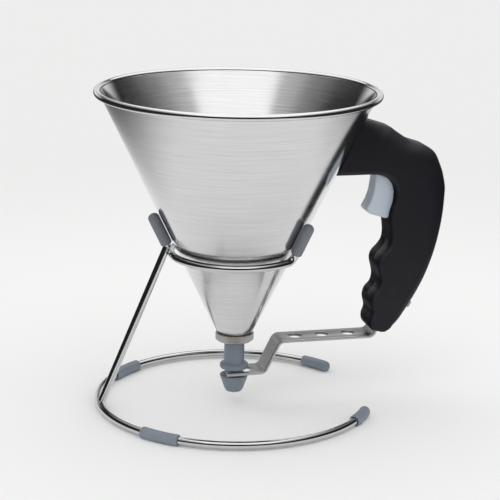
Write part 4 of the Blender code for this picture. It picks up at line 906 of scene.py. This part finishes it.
def half_shell(name, way):
    """One hollow half of the handle, open at the middle plane; way is the sign of its side."""
    shape = bmesh.new()

    def section(index, inset):
        front, back = fronts[index], backs[index]
        heading = (back - front).normalized()
        open_end = min(1.0, (last - index) / open_rows)
        open_end = open_end * open_end * (3 - 2 * open_end)
        head, tip = min(1.0, index / head_rows), min(1.0, (last - index) / tip_rows)
        rounding = least_rounding + (head_rounding * head - open_cut * open_end) * tip
        crown = 1.0 + head * max(0.0, min(1.0, (crown_last - index) / crown_rows))
        made = []
        for at, aside in half_section(front, back, rounding, crown, inset):
            spot = front + heading * at
            made.append(shape.verts.new((spot.x, way * aside, spot.y)))
        return made

    outer = [section(index, 0.0) for index in range(last + 1)]
    hollow = range(first_hollow, last_hollow + 1)
    inner_rows = [section(index, handle_wall) for index in hollow]
    for rows in (outer, inner_rows):
        for one, other in zip(rows, rows[1:]):
            for corners in zip(one, one[1:], other[1:], other):
                shape.faces.new(corners)
        shape.faces.new(rows[0])
        shape.faces.new(rows[-1])
    start, end = hollow[0], hollow[-1]
    for index in range(start, end):
        for rim in (0, -1):
            shape.faces.new((outer[index][rim], outer[index + 1][rim],
                             inner_rows[index - start + 1][rim], inner_rows[index - start][rim]))
    near = [row[0] for row in outer[:start + 1]] + [inner_rows[0][0], inner_rows[0][-1]]
    shape.faces.new(near + [row[-1] for row in outer[start::-1]])
    far = [row[0] for row in outer[:end - 1:-1]] + [inner_rows[-1][0], inner_rows[-1][-1]]
    shape.faces.new(far + [row[-1] for row in outer[end:]])
    bmesh.ops.recalc_face_normals(shape, faces=shape.faces)
    return show_shape(name, shape)


def rod(name, centre, radius, half, sides=32):
    """A cylinder along Y, to cut with or to join on."""
    shape = bmesh.new()
    bmesh.ops.create_cone(shape, cap_ends=True, segments=sides, radius1=radius, radius2=radius,
                          depth=2 * half)
    bmesh.ops.rotate(shape, matrix=Matrix.Rotation(math.radians(90.0), 3, "X"), verts=shape.verts)
    bmesh.ops.translate(shape, vec=centre, verts=shape.verts)
    return show_shape(name, shape)


arm_thickness, arm_width = 0.0020, 0.0200
leg_x, leg_z = at_handle((0.420, 0.122))
button_path = smooth_line([at_handle(share) for share in grip_back], 101)
button_along = Vector(button_path[77] - button_path[83]).normalized()
button_spot = Vector(button_path[80])
button_off = Vector((button_along.y, -button_along.x))
button_place = Matrix((
    (button_along.x, 0.0, button_off.x, button_spot.x), (0.0, -1.0, 0.0, 0.0),
    (button_along.y, 0.0, button_off.y, button_spot.y), (0.0, 0.0, 0.0, 1.0)))
bracket_screws = ((0.279, 0.900), (0.192, 0.813))
grip_screws = ((0.787, 0.537), (0.701, 0.283))
screw_radius, screw_head, screw_rise, screw_reach = 0.0014, 0.0028, 0.0018, 0.0090
head_seat = handle_thickness / 2 - 0.0005 - screw_rise
over, trim_low, trim_high, mouth_reach, mouth_over = 0.004, 0.0503, 0.218, 0.0020, 0.0009
tongue_half, trigger_half, mouth_half, neck_half = 0.0018, 0.0073, 0.0109, 0.0023
tongue_low, tongue_high = at_handle((0.368, 0.788)), at_handle((0.368, 0.940))
slot_low, slot_high = at_handle((0.366, 0.585)), at_handle((0.523, 0.833))
for way, where in ((1, "rear"), (-1, "front")):
    shell = half_shell(f"handle_shell_{where}_moulded", way)
    margin = 2 * clear + 0.0015
    tools = [turned("cone_trim", [
        (0.0, trim_high), (cone_radius(trim_high, margin), trim_high),
        (cone_radius(trim_low, margin), trim_low), (0.0, trim_low)], wall_steps, handle_black)]
    for label, lowest, highest in (
            ("tongue_slot",
             (axis_x + cone_radius(tongue_low[1]), -tongue_half, tongue_low[1] - clear),
             (tongue_high[0] + clear, tongue_half, tongue_high[1] + clear)),
            ("trigger_slot", (slot_low[0], -trigger_half, slot_low[1]),
             (slot_high[0], trigger_half, slot_high[1])),
            ("arm_mouth", (leg_x - mouth_reach, -mouth_half, handle_low - over),
             (leg_x + mouth_reach, mouth_half, leg_z + mouth_over)),
            ("button_slot", (-0.0021, -neck_half, -handle_wall - 0.002),
             (0.0101, neck_half, over))):
        tools.append(cutter(label, lowest, highest))
    tools[-1].data.transform(button_place)  # the button's slot lies on the sloping back
    low_y, high_y = -screw_reach - clear, head_seat + over
    for index, share in enumerate(bracket_screws + grip_screws):
        x, z = at_handle(share)
        tools.append(rod(f"screw_hole_{index}", (x, (low_y + high_y) / 2, z),
                         screw_radius + clear, (high_y - low_y) / 2, 24))
        if way == 1:
            tools.append(rod(f"screw_seat_{index}", (x, head_seat - clear + over, z),
                             screw_head + clear, over, 40))
    shell = carve(shell, tools, sharp=38.0)
    fit(shell, "funnel", "black_plastic", handle_black, f"handle_shell_{where}")


# ---- Bracket, screws and pins -----------------------------------------------------------------
# A steel plate spot-welded on the cone carries the tongue that both shells clamp. Four pan-head
# screws go in from the rear half, and two plain pins carry the trigger and the arm.

def dress(node, finish):
    """Gives a CAD node that stays visible its material."""
    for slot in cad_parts[node].material_slots:
        slot.material = finish


# The bracket plate is coloured near black.
bracket_black = moulded("dark_coated_bracket", (0.020, 0.020, 0.021, 1.0), 0.42, 1800.0, 0.15,
                        0.08, 0.6)
dress("handle_bracket", bracket_black)
pin_steel = steel("drawn_pin_steel", (0.66, 0.66, 0.67, 1.0), 0.22, 0.0, (1.0, 0.05, 1.0), 0.04,
                  600.0, 2400.0, 0.1)
dress("trigger_pin", pin_steel)
dress("arm_pin", pin_steel)

screw_steel = steel("plated_screw_steel", (0.60, 0.60, 0.62, 1.0), 0.24, 0.0, (1.0, 1.0, 1.0),
                    0.05, 500.0, 2200.0, 0.12)
screw = turned("screw_pattern", [
    (0.0, screw_rise), (screw_head * 0.62, screw_rise), (screw_head * 0.84, screw_rise * 0.86),
    (screw_head * 0.97, screw_rise * 0.52), (screw_head, screw_rise * 0.2), (screw_head, 0.0),
    (screw_radius, 0.0), (screw_radius, -head_seat - screw_reach + 0.0016),
    (screw_radius - 0.0006, -head_seat - screw_reach), (0.0, -head_seat - screw_reach)],
    40, screw_steel, 30.0, (0.0, 0.0, 0.0))
recess_half, recess_arm, recess_low = 0.0003, 0.0017, screw_rise - 0.0010
screw = carve(screw, [
    cutter(f"recess_{wide}", (-wide, -deep, recess_low), (wide, deep, 0.01))
    for wide, deep in ((recess_arm, recess_half), (recess_half, recess_arm))], sharp=30.0)

fixing, given = group("Screws at their holes", {
    "Holes": "Geometry", "Screw": "Object", "Turn": "Vector", "Spin step": "Float",
    "Material": "Material"})
pattern = put(fixing, "GeometryNodeObjectInfo", {"Object": given["Screw"]}).node
spin = sums(fixing, "MULTIPLY", put(fixing, "GeometryNodeInputIndex"), given["Spin step"])
tilt = put(fixing, "ShaderNodeVectorMath", {
    0: given["Turn"], 1: put(fixing, "ShaderNodeCombineXYZ", {"Y": spin})}, operation="ADD")
heads = put(fixing, "GeometryNodeInstanceOnPoints", {
    "Points": given["Holes"], "Instance": pattern.outputs["Geometry"], "Rotation": tilt})
close_tree(fixing, heads, given["Material"])
holes = [(at_handle(share)[0], head_seat, at_handle(share)[1])
         for share in bracket_screws + grip_screws]
hole_mesh = bpy.data.meshes.new("screw_holes")
hole_mesh.from_pydata(holes, [], [])
screws = grown("handle_screws", fixing, {
    "Screw": screw, "Turn": (math.radians(-90.0), 0.0, 0.0), "Spin step": 0.5,
    "Material": screw_steel}, hole_mesh, 30.0)
bpy.data.objects.remove(screw, do_unlink=True)
fit(screws, "funnel", "screw_steel", screw_steel, "bracket_screw_upper", "bracket_screw_lower",
    "grip_screw_upper", "grip_screw_lower")


# ---- Trigger and return spring ----------------------------------------------------------------
# The trigger is moulded in pale blue-grey plastic with a hollow front for one finger. Its tail
# presses a small steel coil spring against a seat in the handle's head.

trigger_plastic = moulded("pale_blue_grey_trigger_plastic", paint(193, 203, 214), 0.46, 2100.0,
                          0.14, 0.03)
trigger_outline = (
    (0.379, 0.773), (0.379, 0.728), (0.377, 0.700), (0.363, 0.652), (0.340, 0.615),
    (0.306, 0.582), (0.309, 0.569), (0.336, 0.557), (0.403, 0.546), (0.489, 0.530),
    (0.539, 0.547), (0.566, 0.598), (0.566, 0.632), (0.545, 0.699), (0.570, 0.746),
    (0.669, 0.766), (0.669, 0.796), (0.572, 0.796), (0.545, 0.810), (0.496, 0.812),
    (0.426, 0.806))
trigger_pivot, pivot_radius = at_handle((0.496, 0.782)), 0.0018
trigger_width, trigger_edge, trigger_rounding = 0.0140, 0.0013, 0.0045


def corner_arc(before, corner, after, radius, steps):
    """The arc that rounds a corner, with a smaller radius where the sides are short."""
    back, on = before - corner, after - corner
    half = back.angle(on) / 2
    reach = min(radius / math.tan(half), back.length * 0.49, on.length * 0.49)
    middle = corner + (back.normalized() + on.normalized()).normalized() * (
        reach / math.cos(half))
    one = corner + back.normalized() * reach - middle
    sweep = one.angle_signed(corner + on.normalized() * reach - middle)
    return [middle + Matrix.Rotation(-sweep * step / steps, 2) @ one for step in range(steps + 1)]


def rounded(corners, radius, steps=6):
    """A closed outline with its corners rounded, apart from those that are nearly straight."""
    spots = [Vector(corner) for corner in corners]
    made = []
    for before, corner, after in zip(spots[-1:] + spots, spots, spots[1:] + spots[:1]):
        if abs(math.pi - (before - corner).angle(after - corner)) < 0.02:
            made.append(tuple(corner))
        else:
            made += [tuple(spot) for spot in corner_arc(before, corner, after, radius, steps)]
    return made


def slab(name, outlines, thickness, edge_radius):
    """Closed outlines filled and thickened evenly, with rounded edges; inner ones are holes."""
    curve = bpy.data.curves.new(name, "CURVE")
    curve.dimensions = "2D"
    curve.fill_mode = "BOTH"
    curve.extrude = thickness / 2 - edge_radius
    curve.bevel_depth, curve.bevel_resolution = edge_radius, 4
    curve.offset = -edge_radius
    for outline in outlines:
        spline = curve.splines.new("POLY")
        spline.points.add(len(outline) - 1)
        for point, (x, y) in zip(spline.points, outline):
            point.co = (x, y, 0.0, 1.0)
        spline.use_cyclic_u = True
    return show(name, curve)


def circle(x, y, radius, count=40):
    """A round outline."""
    return [(x + radius * math.cos(2 * math.pi * i / count),
             y + radius * math.sin(2 * math.pi * i / count)) for i in range(count)]


trigger = slab("trigger_moulded", [
    rounded([at_handle(share) for share in trigger_outline], trigger_rounding),
    circle(*trigger_pivot, pivot_radius, 32)], trigger_width, trigger_edge)
trigger.matrix_world = Matrix.Rotation(math.radians(90.0), 4, "X")
trigger = as_plain(trigger, 42.0)
fit(trigger, "trigger_lever", "trigger_plastic", trigger_plastic, "trigger")

coiling, given = group("Compression spring", {
    "Turns": "Float", "Coil radius": "Float", "Length": "Float", "Wire radius": "Float",
    "Foot": "Vector", "Material": "Material"})
helix = put(coiling, "GeometryNodeCurveSpiral", {
    "Resolution": 32, "Rotations": given["Turns"], "Start Radius": given["Coil radius"],
    "End Radius": given["Coil radius"], "Height": given["Length"]})
coil = piped(coiling, helix, 12, given["Wire radius"])
coil = put(coiling, "GeometryNodeTransform", {"Geometry": coil, "Translation": given["Foot"]})
close_tree(coiling, coil, given["Material"])
spring_low, spring_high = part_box("return_spring")
spring_wire = 0.00035
spring_x = (at_handle((0.570, 0.0))[0] + at_handle((0.669, 0.0))[0]) / 2
spring = grown("return_spring_coiled", coiling, {
    "Turns": 4.0, "Coil radius": 0.0030 - spring_wire,
    "Length": spring_high.z - spring_low.z - 2 * spring_wire, "Wire radius": spring_wire,
    "Foot": (spring_x, 0.0, spring_low.z + spring_wire), "Material": pin_steel}, sharp=60.0)
fit(spring, "funnel", "screw_steel", pin_steel, "return_spring")
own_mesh(spring)


# ---- Dosing arm -------------------------------------------------------------------------------
# One strip of 2 mm steel, stamped with its fork slot and three holes, brushed along its length
# and bent cold: fork, step, flat, then the leg that goes up inside the handle. A bush is pressed
# on behind the leg.

fork_z, handle_gap, arm_bend = 0.0218, 0.0031, 0.0050
hole_places, hole_radius, arm_edge = (0.0430, 0.0621, 0.0812), 0.0044, 0.0007
upper_z = handle_low - handle_gap - arm_thickness / 2
corners = [
    Vector((axis_x - 0.0070, fork_z)), Vector((axis_x + 0.0196, fork_z)),
    Vector((axis_x + 0.0303, upper_z)), Vector((leg_x, upper_z)), Vector((leg_x, leg_z)),
    Vector(at_handle((0.582, 0.412))), Vector(at_handle((0.582, 0.632)))]
bend_line = [corners[0]]
for before, corner, after in zip(corners, corners[1:], corners[2:]):
    bend_line += corner_arc(before, corner, after, arm_bend, 14)
bend_line.append(corners[-1])
stations = np.concatenate(((0.0,), np.cumsum([
    (b - a).length for a, b in zip(bend_line, bend_line[1:])])))
flat_start = next(i for i, p in enumerate(bend_line) if abs(p.y - upper_z) < 1e-7)


def at_flat(x):
    """Distance along the strip of a place on its upper flat."""
    return stations[flat_start] + axis_x + x - bend_line[flat_start].x


leg_start = next(
    stations[i] + (leg_z - bend_line[i].y) for i, p in enumerate(bend_line)
    if abs(p.x - leg_x) < 1e-7)
full, slot_half, slot_centre = stations[-1], 0.0065, 0.0119
wide, narrow = arm_width / 2, 0.0060
blank = [(0.0, slot_half), (0.0, wide), (leg_start, wide), (leg_start, narrow), (full, narrow),
         (full, -narrow), (leg_start, -narrow), (leg_start, -wide), (0.0, -wide),
         (0.0, -slot_half)]
blank = rounded(blank, arm_edge, 3)
blank += [(slot_centre + slot_half * math.cos(turn), slot_half * math.sin(turn))
          for turn in np.linspace(-math.pi / 2, math.pi / 2, 25)]
arm = slab("dosing_arm_bent", [blank] + [
    circle(at_flat(x), 0.0, hole_radius, 48) for x in hole_places], arm_thickness, arm_edge)
arm = as_plain(arm, 40.0)
shape = bmesh.new()
shape.from_mesh(arm.data)
for station in stations[1:-1]:
    bmesh.ops.bisect_plane(
        shape, geom=list(shape.verts) + list(shape.edges) + list(shape.faces), dist=1e-7,
        plane_co=(station, 0.0, 0.0), plane_no=(1.0, 0.0, 0.0))
for vertex in shape.verts:
    at, y, lift = vertex.co
    index = int(np.searchsorted(stations, at - 2e-6))
    index = min(max(index, 1), len(stations) - 1)
    share = (at - stations[index - 1]) / (stations[index] - stations[index - 1])
    spot = bend_line[index - 1].lerp(bend_line[index], share)
    here = (bend_line[index] - bend_line[index - 1]).normalized()
    if abs(at - stations[index]) < 3e-6 and index < len(stations) - 1:
        here = (here + (bend_line[index + 1] - bend_line[index]).normalized()).normalized()
    vertex.co = (spot.x - here.y * lift, y, spot.y + here.x * lift)
shape.to_mesh(arm.data)
shape.free()
arm = as_plain(arm, 40.0)
arm_steel = steel("brushed_arm_steel", (0.54, 0.54, 0.546, 1.0), 0.30, 0.0,
                  (0.10, 1.0, 0.6), 0.12, 620.0, 1800.0, 0.40)
skin = arm_steel.node_tree
# Painted shade: the colour is darkened in a thin ring round each of the three holes, for the shade
# on their edges.
coordinates = skin.nodes.new("ShaderNodeTexCoord").outputs["Object"]
nearest = 1.0
for x in hole_places:
    away = put(skin, "ShaderNodeVectorMath", {0: coordinates, 1: (axis_x + x, 0.0, upper_z)},
               operation="DISTANCE").node.outputs["Value"]
    nearest = sums(skin, "MINIMUM", nearest, away)
hole_rim_shade = put(skin, "ShaderNodeMapRange", {
    "Value": nearest, "From Min": hole_radius + 0.0002, "From Max": hole_radius + 0.0006,
    "To Min": 1.0, "To Max": 0.0})
arm_colour_input = skin.nodes["Principled BSDF"].inputs["Base Color"]
skin.links.new(blend(skin, hole_rim_shade, arm_colour_input.links[0].from_socket, (0.25, 0.25, 0.255, 1.0)), arm_colour_input)
fit(arm, "arm_lever", "arm_steel", arm_steel, "dosing_arm")
dress("arm_bush", handle_black)


# ---- Flow button ------------------------------------------------------------------------------
# A small thumb button in pale grey plastic slides in a slot down the handle's back and sets how
# far the trigger can open the nozzle. Three low ribs cross it for grip.

button_plastic = moulded("pale_grey_button_plastic", paint(168, 172, 178), 0.45, 2100.0, 0.12, 0.03)
button, neck, plate = (
    cutter(name, (-along, -across, low), (along, across, high))
    for name, along, across, low, high in (
        ("flow_button_moulded", 0.0025, 0.0045, 0.0006, 0.0032),
        ("button_neck", 0.0018, 0.0020, -0.0032, 0.0018),
        ("button_plate", 0.0035, 0.0050, -0.0044, -0.0030)))
edge_step = button.modifiers.new("edge", "BEVEL")
edge_step.width, edge_step.segments = 0.0011, 5
button = as_plain(button, 60.0)
rib_pitch, rib_z = 0.0013, 0.0031
ribs = [rod(f"button_rib_{index}", ((index - 1) * rib_pitch, 0.0, rib_z), 0.0005, 0.0034, 16)
        for index in range(3)]
button = carve(button, [neck, plate] + ribs, "UNION", 30.0)
button.data.transform(button_place)
button = as_plain(button, 38.0)
fit(button, "button", "button_plastic", button_plastic, "flow_button")


# ---- Sizes ------------------------------------------------------------------------------------
# The box round the finished piece, without the table, is measured.

low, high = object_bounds()
